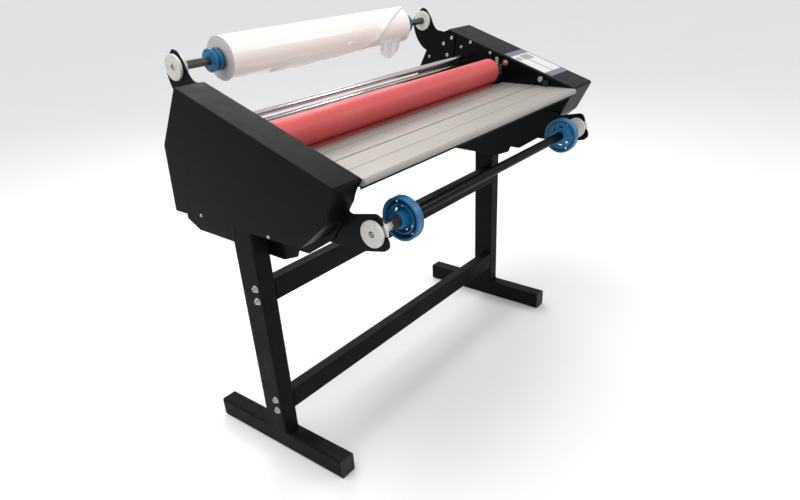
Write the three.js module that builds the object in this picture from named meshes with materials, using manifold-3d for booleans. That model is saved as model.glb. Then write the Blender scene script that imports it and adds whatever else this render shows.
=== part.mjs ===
// Cold roll laminator on a tubular stand.
// Millimetres, +X along the rollers, -Y towards the operator, +Z up, floor at Z = 0.
import * as THREE from 'three';
import { mergeVertices } from 'three/addons/utils/BufferGeometryUtils.js';
import Module from 'manifold-3d';

const wasm = await Module();
wasm.setup();

// ---------------------------------------------------------------- driving dimensions
const GAP = 0.3;                    // clearance kept between touching pieces

// stand
const STAND_HALF = 588;             // outer faces of the legs
const LEG_T = 50;                   // leg tube width along X
const TUBE_WALL = 3;
const FOOT_FRONT = -215;
const FOOT_BACK = 290;
const FOOT_H = 60;
const CAP_T = 4;
const UPRIGHT_D = 75;               // upright depth along Y, front face at Y = 0
const UPRIGHT_TOP = 755;
const BEAM_D = 38;
const BEAM_H = 60;
const LOWER_BEAM_Z = 124;
const UPPER_BEAM_Z = 478;

// machine head
const COVER_HALF = 614.5;           // outer faces of the side covers
const COVER_T = 2;
const PLATE_T = 6;
const LEFT_WALL = -537.7;           // outer face of the left frame plate
const RIGHT_WALL = 480;             // inner face of the right frame plate
const ARM_T = 5;
const COVER_SLOPE = 0.3282;         // rise of the top face per unit of depth
const COVER_TOP_BACK = [150, 1016];
const COVER_NOSE_Y = -329;

// rollers
const ROLLER_Y = -45;
const UPPER_ROLLER_Z = 900;
const ROLLER_R = 38;
const SLEEVE_ENDS = [-515, 434];     // the rubber starts close to the left frame plate
const CORE_R = 31;
const JOURNAL_R = 10;
const BLOCK_HALF = 15;               // half height of the sliding bearing blocks

// lift rack and pinion, roller gear and motor pinion
const MODULE = 2;
const LIFT_TEETH = 12;
const GEAR_TEETH = 54;
const PINION_TEETH = 18;
const MOTOR_ANGLE = Math.PI * 7 / 6;   // direction of the motor from the lower roller, in the YZ plane

// work table
const TABLE_TOP = 858;
const TABLE_T = 16;
const TABLE_FRONT = -335;
const TABLE_BACK = -68;
const NOSE_SEAM = -262;
const GROOVES = [-190.5, -121.5];

// film shafts
const SUPPLY = [250, 1041];          // Y, Z of the upper supply shaft
const TAKEUP = [-348, 741];          // Y, Z of the lower shaft
const SHAFT_AF = 19;                 // across the flats of the hexagonal shafts
const BUSH_R = 31;
const BUSH_NECK_R = 12;
const FILM_R = 55;
const FILM_ENDS = [-398, 330];
const CORE_PAST_FILM = [3, 16];       // the board core stands out of each end of the film

// rods behind the upper roller
const IDLER = [72, 933];
const GUIDE = [76, 911];

// derived places
const RIGHT_PLATE_OUT = RIGHT_WALL + PLATE_T;
const LEFT_WALL_IN = LEFT_WALL + PLATE_T;
const LOWER_ROLLER_Z = UPPER_ROLLER_Z - 2 * ROLLER_R - GAP;
const LIFT_PITCH_R = MODULE * LIFT_TEETH / 2;
const RACK_Y = 20;
const LIFT_SHAFT = [RACK_Y + LIFT_PITCH_R, UPPER_ROLLER_Z];
const MOTOR_DIST = MODULE * (GEAR_TEETH + PINION_TEETH) / 2;
const MOTOR_AXIS = [
  ROLLER_Y + MOTOR_DIST * Math.cos(MOTOR_ANGLE),
  LOWER_ROLLER_Z + MOTOR_DIST * Math.sin(MOTOR_ANGLE),
];
const HEX_R = SHAFT_AF / Math.sqrt(3);
const coverTopZ = (y) => COVER_TOP_BACK[1] + (y - COVER_TOP_BACK[0]) * COVER_SLOPE;

// ---------------------------------------------------------------- materials
const paint = (color, roughness, metalness) => () =>
  new THREE.MeshStandardMaterial({ color, roughness, metalness });
const blackPaint = paint(0x17181a, 0.5, 0.3);
const satinBlack = paint(0x0f1012, 0.4, 0.2);
const blackPlastic = paint(0x1a1a1b, 0.6, 0);
const steel = paint(0x9a9da0, 0.35, 1);
const darkSteel = paint(0x3c3e41, 0.45, 0.9);
const chrome = paint(0xd8dadc, 0.12, 1);
const aluminium = paint(0xb9bab8, 0.4, 0.9);
const redSilicone = paint(0xc2373a, 0.45, 0);
const whiteNylon = paint(0xd6d3cd, 0.5, 0);
const bluePlastic = paint(0x1f6fae, 0.4, 0);
const filmWhite = paint(0xeeeceb, 0.35, 0);
const cardboard = paint(0xb9a27c, 0.85, 0);
const redPlastic = paint(0xb01818, 0.35, 0);

// ---------------------------------------------------------------- geometry helpers
function toSolid(geometry) {
  const bare = geometry.clone();
  bare.deleteAttribute('normal');
  bare.deleteAttribute('uv');
  const merged = mergeVertices(bare, 1e-4);
  return new wasm.Manifold(new wasm.Mesh({
    numProp: 3,
    vertProperties: new Float32Array(merged.attributes.position.array),
    triVerts: new Uint32Array(merged.index.array),
  }));
}

function toGeometry(solid) {
  const mesh = solid.getMesh();
  const geometry = new THREE.BufferGeometry();
  geometry.setAttribute('position', new THREE.Float32BufferAttribute(mesh.vertProperties, 3));
  geometry.setIndex(Array.from(mesh.triVerts));
  geometry.computeVertexNormals();
  return geometry;
}

const add = (first, ...rest) =>
  toGeometry(rest.reduce((solid, g) => solid.add(toSolid(g)), toSolid(first)));
const cut = (first, ...rest) =>
  toGeometry(rest.reduce((solid, g) => solid.subtract(toSolid(g)), toSolid(first)));

// a box between two corners
function box(x0, x1, y0, y1, z0, z1) {
  const geometry = new THREE.BoxGeometry(x1 - x0, y1 - y0, z1 - z0);
  return geometry.translate((x0 + x1) / 2, (y0 + y1) / 2, (z0 + z1) / 2);
}

// turns a shape drawn in the XY plane into one drawn in YZ and extruded along X
const YZ_BASIS = new THREE.Matrix4().makeBasis(
  new THREE.Vector3(0, 1, 0), new THREE.Vector3(0, 0, 1), new THREE.Vector3(1, 0, 0));

// a plate with a Y, Z outline (points or a THREE.Shape), between two X planes
function plate(outline, x0, x1, curveSegments = 6) {
  const shape = Array.isArray(outline)
    ? new THREE.Shape(outline.map(([y, z]) => new THREE.Vector2(y, z)))
    : outline;
  const geometry = new THREE.ExtrudeGeometry(shape, { depth: x1 - x0, bevelEnabled: false, curveSegments });
  return geometry.applyMatrix4(YZ_BASIS).translate(x0, 0, 0);
}

// a cylinder along X
function rod(x0, x1, r, [y, z] = [0, 0], segments = 20) {
  const geometry = new THREE.CylinderGeometry(r, r, x1 - x0, segments);
  return geometry.rotateZ(Math.PI / 2).translate((x0 + x1) / 2, y, z);
}

// a body of revolution about X from [x, r] pairs that start and end on the axis or close on themselves
function turned(profile, segments = 24) {
  const points = profile.map(([x, r]) => new THREE.Vector2(r, x));
  return new THREE.LatheGeometry(points, segments).rotateZ(-Math.PI / 2);
}

// a ring profile that closes on itself, from its outer [x, r] pairs and the bore radius
function ring(outer, bore, segments = 24) {
  const first = outer[0][0];
  const last = outer[outer.length - 1][0];
  return turned([[first, bore], ...outer, [last, bore], [first, bore]], segments);
}

// the outline moved inwards by d; its points run anticlockwise
function inset(points, d) {
  const count = points.length;
  const edge = (i) => {
    const a = points[(i + count) % count];
    const b = points[(i + 1) % count];
    const length = Math.hypot(b[0] - a[0], b[1] - a[1]);
    const normal = [-(b[1] - a[1]) / length, (b[0] - a[0]) / length];
    return { normal, offset: normal[0] * a[0] + normal[1] * a[1] + d };
  };
  return points.map((_, i) => {
    const p = edge(i - 1);
    const q = edge(i);
    const det = p.normal[0] * q.normal[1] - p.normal[1] * q.normal[0];
    return [
      (p.offset * q.normal[1] - q.offset * p.normal[1]) / det,
      (q.offset * p.normal[0] - p.offset * q.normal[0]) / det,
    ];
  });
}

// a spur gear outline with one tooth centred at the angle `phase`
function gearShape(teeth, phase, backlash = 0.5) {
  const pitch = MODULE * teeth / 2;
  const root = pitch - 1.3 * MODULE;
  const tip = pitch + 0.9 * MODULE;
  const half = (Math.PI * MODULE / 2 - backlash) / 2 / pitch;
  const lean = 0.36 * MODULE / pitch;
  const points = [];
  for (let i = 0; i < teeth; i++) {
    const a = phase + i * 2 * Math.PI / teeth;
    const flank = [[root, -half - lean], [tip, -half + lean], [tip, half - lean], [root, half + lean]];
    for (const [r, da] of flank) points.push([r * Math.cos(a + da), r * Math.sin(a + da)]);
  }
  return points;
}

const hexagon = (r, centre) => Array.from({ length: 6 }, (_, i) => {
  const a = i * Math.PI / 3;
  return [centre[0] + r * Math.cos(a), centre[1] + r * Math.sin(a)];
});

// ---------------------------------------------------------------- scene
const machine = new THREE.Group();

function place(name, geometry, material, position = [0, 0, 0], parent = machine) {
  const mesh = new THREE.Mesh(geometry, material());
  mesh.name = name;
  mesh.position.set(...position);
  parent.add(mesh);
  return mesh;
}

const SIDES = [['left', -1], ['right', 1]];
const span = (side, a, b) => (side < 0 ? [-b, -a] : [a, b]);

// ---------------------------------------------------------------- stand
const BOLT_R = 4;
const BEAM_BOLTS = [LOWER_BEAM_Z, UPPER_BEAM_Z].flatMap((z) => [z + 12, z + BEAM_H - 12]);
const BOLT_Y = BEAM_D / 2;

function legGeometry(side) {
  const [x0, x1] = span(side, STAND_HALF - LEG_T, STAND_HALF);
  const foot = box(x0, x1, FOOT_FRONT + CAP_T, FOOT_BACK - CAP_T, 0, FOOT_H);
  const upright = box(x0, x1, 0, UPRIGHT_D, FOOT_H - TUBE_WALL, UPRIGHT_TOP);
  const w = TUBE_WALL;
  const footBore = box(x0 + w, x1 - w, FOOT_FRONT, FOOT_BACK, w, FOOT_H - w);
  const uprightBore = box(x0 + w, x1 - w, w, UPRIGHT_D - w, FOOT_H, UPRIGHT_TOP + 1);
  const holes = BEAM_BOLTS.map((z) => rod(x0 - 1, x1 + 1, BOLT_R + GAP, [BOLT_Y, z], 8));
  return cut(add(foot, upright), footBore, uprightBore, ...holes);
}

// plug in the end of a foot; `front` is the side it closes
function capGeometry(side, front) {
  const [x0, x1] = span(side, STAND_HALF - LEG_T, STAND_HALF);
  const outer = front ? FOOT_FRONT : FOOT_BACK - CAP_T + GAP;
  const inner = front ? FOOT_FRONT + CAP_T - GAP : FOOT_BACK;
  const head = box(x0, x1, outer, inner, 0, FOOT_H);
  const w = TUBE_WALL + GAP;
  const depth = 14;
  const plugY = front ? [inner - 1, inner + depth] : [outer - depth, outer + 1];
  return add(head, box(x0 + w, x1 - w, ...plugY, w, FOOT_H - w));
}

function beamGeometry(z) {
  const half = STAND_HALF - LEG_T - GAP;
  const w = TUBE_WALL;
  const tube = box(-half, half, 0, BEAM_D, z, z + BEAM_H);
  const bore = box(-half + 5, half - 5, w, BEAM_D - w, z + w, z + BEAM_H - w);
  const holes = [12, BEAM_H - 12].map((dz) => rod(-half - 1, half + 1, BOLT_R + GAP, [BOLT_Y, z + dz], 8));
  return cut(tube, bore, ...holes);
}

// four socket bolts through one upright, joined by the spacer strip inside the tube
function beamBoltGeometry(side) {
  const washer = span(side, STAND_HALF + GAP, STAND_HALF + 2);
  const head = span(side, STAND_HALF + 2, STAND_HALF + 9);
  const shank = span(side, STAND_HALF - LEG_T - 16, STAND_HALF + 3);
  const strip = box(...span(side, STAND_HALF - 30, STAND_HALF - 20), BOLT_Y - 9, BOLT_Y + 9,
    BEAM_BOLTS[0] - 12, BEAM_BOLTS[3] + 12);
  const pieces = BEAM_BOLTS.flatMap((z) => [
    rod(...washer, 10, [BOLT_Y, z], 12),
    rod(...head, 6.5, [BOLT_Y, z], 8),
    rod(...shank, BOLT_R, [BOLT_Y, z], 6),
  ]);
  return add(strip, ...pieces);
}

for (const [label, side] of SIDES) {
  place(`${label}_leg`, legGeometry(side), blackPaint);
  place(`${label}_foot_front_cap`, capGeometry(side, true), blackPlastic);
  place(`${label}_foot_rear_cap`, capGeometry(side, false), blackPlastic);
  place(`${label}_beam_bolts`, beamBoltGeometry(side), steel);
}
place('lower_beam', beamGeometry(LOWER_BEAM_Z), blackPaint);
place('upper_beam', beamGeometry(UPPER_BEAM_Z), blackPaint);

// ---------------------------------------------------------------- frame plates and ties
const SLOT_HALF = 21;
const SLOT_Z = [UPPER_ROLLER_Z - 19, UPPER_ROLLER_Z + 36.5];
const BEARING_R = 26;
const ARM_BOLTS = [[130, 990], [164, 970], [150, 934]];
const PLATE_OUTLINE = [
  [-50, 606], [288, 612], [335, 637], [318, 760], [290, 850], [275, 888], [245, 941], [238, 985],
  [150, coverTopZ(150) - COVER_T - 1 - GAP], [-318, coverTopZ(-318) - COVER_T - 1 - GAP],
  [-300, 806], [-272, 766], [-226, 699], [-142, 645], [-106, 645], [-97, 625],
];

function framePlateGeometry(x0, x1) {
  const round = (r, centre, segments = 16) => rod(x0 - 1, x1 + 1, r, centre, segments);
  return cut(
    plate(PLATE_OUTLINE, x0, x1),
    box(x0 - 1, x1 + 1, ROLLER_Y - SLOT_HALF, ROLLER_Y + SLOT_HALF, ...SLOT_Z),
    round(BEARING_R, [ROLLER_Y, LOWER_ROLLER_Z], 24),
    round(8.5, LIFT_SHAFT),
    round(6 + GAP, IDLER),
    round(5 + GAP, GUIDE),
    ...ARM_BOLTS.map((centre) => round(3.6, centre, 10)),
  );
}
place('left_frame_plate', framePlateGeometry(LEFT_WALL, LEFT_WALL_IN), satinBlack);
place('right_frame_plate', framePlateGeometry(RIGHT_WALL, RIGHT_PLATE_OUT), satinBlack);

// channel that carries the right frame plate on the right upright
function spacerGeometry() {
  const x0 = RIGHT_PLATE_OUT + GAP;
  const x1 = STAND_HALF - LEG_T - GAP;
  return cut(box(x0, x1, -5, 85, 625, 740), box(x0 + 5, x1 - 5, -10, 80, 620, 745));
}
place('right_stand_spacer', spacerGeometry(), satinBlack);

function tieBarGeometry(y0, z0, size) {
  const x0 = LEFT_WALL_IN + GAP;
  const x1 = RIGHT_WALL - GAP;
  const w = TUBE_WALL;
  return cut(
    box(x0, x1, y0, y0 + size, z0, z0 + size),
    box(x0 - 1, x1 + 1, y0 + w, y0 + size - w, z0 + w, z0 + size - w),
  );
}
place('rear_tie_bar', tieBarGeometry(235, 655, 40), satinBlack);

// ---------------------------------------------------------------- side covers
const COVER_OUTLINE = [
  [-201, 701], [257, 701], [257, 709], [243, 873], COVER_TOP_BACK,
  [COVER_NOSE_Y, coverTopZ(COVER_NOSE_Y)], [-282, 769],
];
const CONTROL = {
  stop: [-205, 840], speed: [-150, 840], rocker: [-100, 840], inlet: [140, 760],
};
const ROCKER_SIZE = [11, 7];         // half sizes of the rocker along Y and Z
const INLET_SIZE = [14, 12];         // half sizes of the inlet body along Y and Z

// folded sheet box, open below and towards the frame plate, with a lip over the plate's top edge
function coverGeometry(side, openings) {
  const wallFace = side < 0 ? -LEFT_WALL : RIGHT_PLATE_OUT;
  const lipFace = wallFace - PLATE_T;
  const [x0, x1] = span(side, wallFace + GAP, COVER_HALF);
  const [c0, c1] = span(side, wallFace - 5, COVER_HALF - COVER_T);
  const cavity = inset(COVER_OUTLINE, COVER_T);
  cavity[0][1] -= 20;
  cavity[1][1] -= 20;
  const lip = [
    [COVER_TOP_BACK[0] - 4, coverTopZ(COVER_TOP_BACK[0] - 4)],
    [COVER_NOSE_Y, coverTopZ(COVER_NOSE_Y)],
    [COVER_NOSE_Y + 3.5, coverTopZ(COVER_NOSE_Y) - 7],
    [COVER_NOSE_Y + 5.5, coverTopZ(COVER_NOSE_Y + 5.5) - COVER_T - 1],
    [COVER_TOP_BACK[0] - 4, coverTopZ(COVER_TOP_BACK[0] - 4) - COVER_T - 1],
  ];
  const lipSpan = span(side, lipFace, wallFace + 4);
  const shell = cut(plate(COVER_OUTLINE, x0, x1), plate(cavity, c0, c1));
  return cut(add(shell, plate(lip, ...lipSpan)), ...openings);
}

const through = (y0, y1, z0, z1) => box(COVER_HALF - 8, COVER_HALF + 8, y0, y1, z0, z1);
const drill = (r, centre) => rod(COVER_HALF - 8, COVER_HALF + 8, r, centre, 20);
const around = ([y, z], [h, v], margin) =>
  through(y - h - margin, y + h + margin, z - v - margin, z + v + margin);
place('left_cover', coverGeometry(-1, []), satinBlack);
place('right_cover', coverGeometry(1, [
  drill(8.5, LIFT_SHAFT),
  drill(11, CONTROL.stop),
  drill(4, CONTROL.speed),
  around(CONTROL.rocker, ROCKER_SIZE, 1.5),
  around(CONTROL.inlet, INLET_SIZE, GAP),
]), satinBlack);

// ---------------------------------------------------------------- film arms
// a slot of the given radius from the shaft axis out through the arm's edge
function slotCutter(centre, angle, r, x0, x1) {
  const reach = 60;
  const d = [Math.cos(angle), Math.sin(angle)];
  const n = [-d[1] * r, d[0] * r];
  const corner = (t, s) => [centre[0] + d[0] * t + n[0] * s, centre[1] + d[1] * t + n[1] * s];
  const channel = plate([corner(0, -1), corner(reach, -1), corner(reach, 1), corner(0, 1)], x0 - 1, x1 + 1);
  return add(channel, rod(x0 - 1, x1 + 1, r, centre, 24));
}

function upperArmGeometry(x0, x1) {
  const arm = new THREE.Shape();
  arm.moveTo(128, 917);
  arm.lineTo(241, 946);
  arm.bezierCurveTo(262, 952, 288, 985, 292, 1022);
  arm.lineTo(292, 1046);
  arm.lineTo(284, 1055);
  arm.lineTo(252, 1082);
  arm.lineTo(236, 1077);
  arm.lineTo(218, 1050);
  arm.bezierCurveTo(208, 1026, 200, 1012, 186, 1011);
  arm.lineTo(117, 1000);
  arm.closePath();
  const bolts = ARM_BOLTS.map((centre) => rod(x0 - 1, x1 + 1, 3.6, centre, 10));
  return cut(plate(arm, x0, x1, 6), slotCutter(SUPPLY, Math.PI / 4, BUSH_NECK_R + 0.6, x0, x1), ...bolts);
}

function lowerArmGeometry(x0, x1) {
  const arm = new THREE.Shape();
  arm.moveTo(-200, 705);
  arm.lineTo(-205, 690);
  arm.lineTo(-300, 688);
  arm.lineTo(-376, 704);
  arm.lineTo(-388, 714);
  arm.lineTo(-388, 728);
  arm.lineTo(-383, 737);
  arm.lineTo(-373, 768);
  arm.bezierCurveTo(-369, 782, -362, 786, -352, 785);
  arm.lineTo(-292, 773);
  arm.bezierCurveTo(-283, 772, -280, 776, -276, 782);
  arm.lineTo(-215, 782);
  arm.closePath();
  const slot = slotCutter(TAKEUP, Math.PI * 0.9, BUSH_NECK_R + 0.6, x0, x1);
  return cut(plate(arm, x0, x1, 6), slot);
}

const ARM_SPANS = {
  left: [LEFT_WALL_IN + GAP, LEFT_WALL_IN + GAP + ARM_T],
  right: [RIGHT_WALL - GAP - ARM_T, RIGHT_WALL - GAP],
};
for (const [label] of SIDES) {
  place(`${label}_upper_arm`, upperArmGeometry(...ARM_SPANS[label]), satinBlack);
  place(`${label}_lower_arm`, lowerArmGeometry(...ARM_SPANS[label]), satinBlack);
}

// button-head bolts of one upper arm with the tapped strip behind the frame plate
function armBoltGeometry(side) {
  const inner = side < 0 ? -(LEFT_WALL_IN + GAP + ARM_T) : RIGHT_WALL - GAP - ARM_T;
  const outer = side < 0 ? -LEFT_WALL : RIGHT_PLATE_OUT;
  const strip = [[122, 996], [122, 927], [158, 927], [170, 962], [170, 976], [140, 996]];
  const pieces = ARM_BOLTS.flatMap((centre) => [
    rod(...span(side, inner - 3.5, inner - GAP), 6, centre, 8),
    rod(...span(side, inner - 2, outer + 2), 3, centre, 6),
  ]);
  return add(plate(strip, ...span(side, outer + GAP, outer + 4)), ...pieces);
}
for (const [label, side] of SIDES) place(`${label}_arm_bolts`, armBoltGeometry(side), steel);

// ---------------------------------------------------------------- rollers and their bearings
const UPPER_ENDS = [LEFT_WALL - 10, RIGHT_PLATE_OUT + 10];
const LOWER_ENDS = [LEFT_WALL - 10, RIGHT_PLATE_OUT + 24];

// steel tube with shouldered journals, bored right through
function rollerCoreGeometry(ends) {
  const shell = CORE_R - GAP;
  const [f0, f1] = SLEEVE_ENDS;
  return turned([
    [ends[0], 5], [ends[0], JOURNAL_R], [f0 + 4, JOURNAL_R], [f0 + 4, shell], [f1 - 4, shell],
    [f1 - 4, JOURNAL_R], [ends[1], JOURNAL_R], [ends[1], 5], [f1 - 14, 5], [f1 - 14, 25],
    [f0 + 14, 25], [f0 + 14, 5], [ends[0], 5],
  ], 20);
}

function sleeveGeometry() {
  const [f0, f1] = SLEEVE_ENDS;
  return ring([[f0, ROLLER_R - 5], [f0 + 5, ROLLER_R], [f1 - 5, ROLLER_R], [f1, ROLLER_R - 5]], CORE_R, 32);
}
place('upper_roller_core', rollerCoreGeometry(UPPER_ENDS), steel, [0, ROLLER_Y, UPPER_ROLLER_Z]);
place('upper_roller_sleeve', sleeveGeometry(), redSilicone, [0, ROLLER_Y, UPPER_ROLLER_Z]);
place('lower_roller_core', rollerCoreGeometry(LOWER_ENDS), steel, [0, ROLLER_Y, LOWER_ROLLER_Z]);
place('lower_roller_sleeve', sleeveGeometry(), redSilicone, [0, ROLLER_Y, LOWER_ROLLER_Z]);

// flanged bearing of the lower roller, its flange outside the frame plate
function bearingGeometry(side) {
  const outer = side < 0 ? -LEFT_WALL : RIGHT_PLATE_OUT;
  const body = BEARING_R - GAP;
  const profile = [
    [outer - PLATE_T - 4, body], [outer + GAP, body],
    [outer + GAP, BEARING_R + 5], [outer + 4, BEARING_R + 5],
  ];
  const geometry = ring(profile, JOURNAL_R + GAP, 24);
  return side < 0 ? geometry.rotateZ(Math.PI) : geometry;
}

// sliding bearing block of the upper roller with the rack that lifts it
function carriageGeometry(side) {
  const outer = side < 0 ? -LEFT_WALL : RIGHT_PLATE_OUT;
  const rack = rackOutline();
  const block = box(...span(side, outer - PLATE_T - 5, outer + 8), ROLLER_Y - SLOT_HALF + GAP,
    ROLLER_Y + SLOT_HALF - GAP, UPPER_ROLLER_Z - BLOCK_HALF, UPPER_ROLLER_Z + BLOCK_HALF);
  const bore = rod(...span(side, outer - 30, outer + 30), JOURNAL_R + GAP, [ROLLER_Y, UPPER_ROLLER_Z], 24);
  return cut(add(block, plate(rack, ...span(side, outer + 0.6, outer + 8))), bore);
}

// plate edge with rack teeth towards +Y, one tooth centred on the lift shaft's height
function rackOutline() {
  const pitch = Math.PI * MODULE;
  const half = (pitch / 2 - 0.5) / 2;
  const lean = 0.36 * MODULE;
  const root = RACK_Y - 1.3 * MODULE;
  const tip = RACK_Y + 0.9 * MODULE;
  const points = [[ROLLER_Y - SLOT_HALF + GAP, UPPER_ROLLER_Z - 18], [root, UPPER_ROLLER_Z - 27]];
  for (let k = -3; k <= 1; k++) {
    const z = UPPER_ROLLER_Z + k * pitch;
    points.push([root, z - half - lean], [tip, z - half + lean]);
    points.push([tip, z + half - lean], [root, z + half + lean]);
  }
  const top = UPPER_ROLLER_Z + BLOCK_HALF;
  return [...points, [root, top], [ROLLER_Y - SLOT_HALF + GAP, top]];
}

// closed outline of a coil spring: a stack of rings
function springGeometry() {
  const [z0, z1] = [UPPER_ROLLER_Z + BLOCK_HALF + GAP, SLOT_Z[1] - GAP];
  const turns = 4;
  const step = (z1 - z0) / turns;
  const points = [new THREE.Vector2(0, z0)];
  for (let i = 0; i < turns; i++) {
    points.push(new THREE.Vector2(6.5, z0 + i * step), new THREE.Vector2(8, z0 + (i + 0.25) * step));
    points.push(new THREE.Vector2(8, z0 + (i + 0.6) * step));
  }
  points.push(new THREE.Vector2(6.5, z1), new THREE.Vector2(0, z1));
  return new THREE.LatheGeometry(points, 10).rotateX(Math.PI / 2);
}

for (const [label, side] of SIDES) {
  place(`${label}_roller_bearing`, bearingGeometry(side), steel, [0, ROLLER_Y, LOWER_ROLLER_Z]);
  place(`${label}_lift_carriage`, carriageGeometry(side), darkSteel);
}

// ---------------------------------------------------------------- lift shaft and nip lever
const LIFT_PINION_PHASE = Math.PI + Math.PI / LIFT_TEETH;
const LEVER_X = COVER_HALF + 8;

function liftShaftGeometry() {
  const pinion = plate(gearShape(LIFT_TEETH, LIFT_PINION_PHASE), 0, 7);
  return add(
    rod(LEFT_WALL - 10, LEVER_X + 16, 7, [0, 0], 20),
    pinion.clone().translate(LEFT_WALL - 8, 0, 0),
    pinion.clone().translate(RIGHT_PLATE_OUT + 1, 0, 0),
  );
}

// hub, straight arm and ball grip, hanging down when the nip is closed
function leverGeometry() {
  const hub = rod(LEVER_X, LEVER_X + 16, 15, [0, 0], 24);
  const arm = new THREE.CylinderGeometry(6, 6, 112, 16).rotateX(Math.PI / 2).translate(LEVER_X + 8, 0, -66);
  const grip = new THREE.SphereGeometry(16, 14, 10).rotateX(Math.PI / 2).translate(LEVER_X + 8, 0, -128);
  return cut(add(hub, arm, grip), rod(LEVER_X - 1, LEVER_X + 17, 7 + GAP, [0, 0], 20));
}
place('lift_shaft', liftShaftGeometry(), steel, [0, ...LIFT_SHAFT]);
place('nip_lever', leverGeometry(), blackPlastic, [0, ...LIFT_SHAFT]);

// ---------------------------------------------------------------- drive
const GEAR_X = [RIGHT_PLATE_OUT + 11, RIGHT_PLATE_OUT + 22];
const MOTOR_FLANGE_X = RIGHT_PLATE_OUT + 25;
const STANDOFFS = [[-152, 752], [-152, 818], [-88, 742]];

function rollerGearGeometry() {
  const bore = rod(GEAR_X[0] - 1, GEAR_X[1] + 1, JOURNAL_R + GAP);
  return cut(plate(gearShape(GEAR_TEETH, MOTOR_ANGLE), ...GEAR_X), bore);
}

function motorPinionGeometry() {
  const phase = MOTOR_ANGLE + Math.PI + Math.PI / PINION_TEETH;
  const shaft = rod(GEAR_X[0], MOTOR_FLANGE_X + 10, 5, [0, 0], 16);
  return add(plate(gearShape(PINION_TEETH, phase), ...GEAR_X), shaft);
}

// gear motor with its mounting flange and three stand-offs to the frame plate
function motorGeometry() {
  const [y, z] = MOTOR_AXIS;
  const x = MOTOR_FLANGE_X;
  const outline = [[y - 55, z - 45], [y + 28, z - 55], [y + 28, z + 24], [y - 20, z + 38], [y - 55, z + 38]];
  const flange = plate(outline, x, x + 4);
  const gearbox = box(x + 3, x + 40, y - 40, y + 24, z - 36, z + 28);
  const can = rod(x + 39, COVER_HALF - COVER_T - 5, 29, [y - 6, z - 4], 28);
  const legs = STANDOFFS.map((centre) => rod(RIGHT_PLATE_OUT + GAP, x + 1, 5, centre, 10));
  return cut(add(flange, gearbox, can, ...legs), rod(x - 1, x + 14, 7, MOTOR_AXIS, 16));
}
place('roller_gear', rollerGearGeometry(), steel, [0, ROLLER_Y, LOWER_ROLLER_Z]);
place('motor_pinion', motorPinionGeometry(), steel, [0, ...MOTOR_AXIS]);
place('drive_motor', motorGeometry(), darkSteel);

// pressure springs between the carriages and the top of their slots
for (const [label, x] of [['left', LEFT_WALL + PLATE_T / 2], ['right', RIGHT_WALL + PLATE_T / 2]]) {
  place(`${label}_pressure_spring`, springGeometry(), steel, [x, ROLLER_Y, 0]);
}

// ---------------------------------------------------------------- rods behind the upper roller
function rodGeometry(r, stub, faceEnds, stubEnds) {
  return turned([
    [stubEnds[0], 0], [stubEnds[0], stub], [faceEnds[0], stub], [faceEnds[0], r],
    [faceEnds[1], r], [faceEnds[1], stub], [stubEnds[1], stub], [stubEnds[1], 0],
  ], 16);
}
const STUB_ENDS = [LEFT_WALL + 1, RIGHT_PLATE_OUT - 1];
place('idler_rod', rodGeometry(9, 6, [-512, 466], STUB_ENDS), chrome, [0, ...IDLER]);
place('guide_rod', rodGeometry(7, 5, [-495, 440], STUB_ENDS), chrome, [0, ...GUIDE]);

// ---------------------------------------------------------------- work table
const TABLE_X = [LEFT_WALL_IN + GAP, RIGHT_WALL - GAP];
const TABLE_LOW = TABLE_TOP - TABLE_T;

function tablePanelGeometry() {
  const front = NOSE_SEAM + 0.8;
  const profile = [
    [front, TABLE_LOW], [TABLE_BACK - 15, TABLE_LOW], [TABLE_BACK, TABLE_TOP - 1],
    [TABLE_BACK, TABLE_TOP], [front, TABLE_TOP],
  ];
  const panel = plate(profile, ...TABLE_X);
  const [x0, x1] = TABLE_X;
  const grooves = GROOVES.map((y) => box(x0 - 1, x1 + 1, y - 1, y + 1, TABLE_TOP - 4, TABLE_TOP + 1));
  return cut(panel, ...grooves);
}

function tableNoseGeometry() {
  const r = TABLE_T / 2;
  const nose = new THREE.Shape();
  nose.moveTo(NOSE_SEAM - 0.8, TABLE_LOW);
  nose.lineTo(NOSE_SEAM - 0.8, TABLE_TOP);
  nose.lineTo(TABLE_FRONT + r, TABLE_TOP);
  nose.absarc(TABLE_FRONT + r, TABLE_TOP - r, r, Math.PI / 2, Math.PI * 1.5, false);
  nose.closePath();
  return plate(nose, ...TABLE_X, 12);
}

function tableSupportGeometry() {
  const top = TABLE_LOW - GAP;
  const sheet = [
    [-322, top - 8], [-319, top - 8], [-319, top - 3], [-99, top - 3], [-99, top - 30], [-96, top - 30],
    [-96, top], [-322, top],
  ];
  return plate(sheet, ...TABLE_X);
}
place('table_panel', tablePanelGeometry(), aluminium);
place('table_nose', tableNoseGeometry(), aluminium);
place('table_support', tableSupportGeometry(), satinBlack);

// ---------------------------------------------------------------- film shafts, bushes and chucks
const ARM_MID = {
  left: (ARM_SPANS.left[0] + ARM_SPANS.left[1]) / 2,
  right: (ARM_SPANS.right[0] + ARM_SPANS.right[1]) / 2,
};
const GROOVE_HALF = 3.5;
const FLANGE_T = 8;
const BUSH_OUT = GROOVE_HALF + FLANGE_T;

// hexagonal shaft with a round screw head standing in the hole of each bush
function shaftGeometry() {
  const x0 = ARM_MID.left - BUSH_OUT;
  const x1 = ARM_MID.right + BUSH_OUT;
  return add(
    plate(hexagon(HEX_R, [0, 0]), x0 + 5, x1 - 5),
    rod(x0 + 1.5, x1 - 1.5, 5, [0, 0], 12),
  );
}

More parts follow.
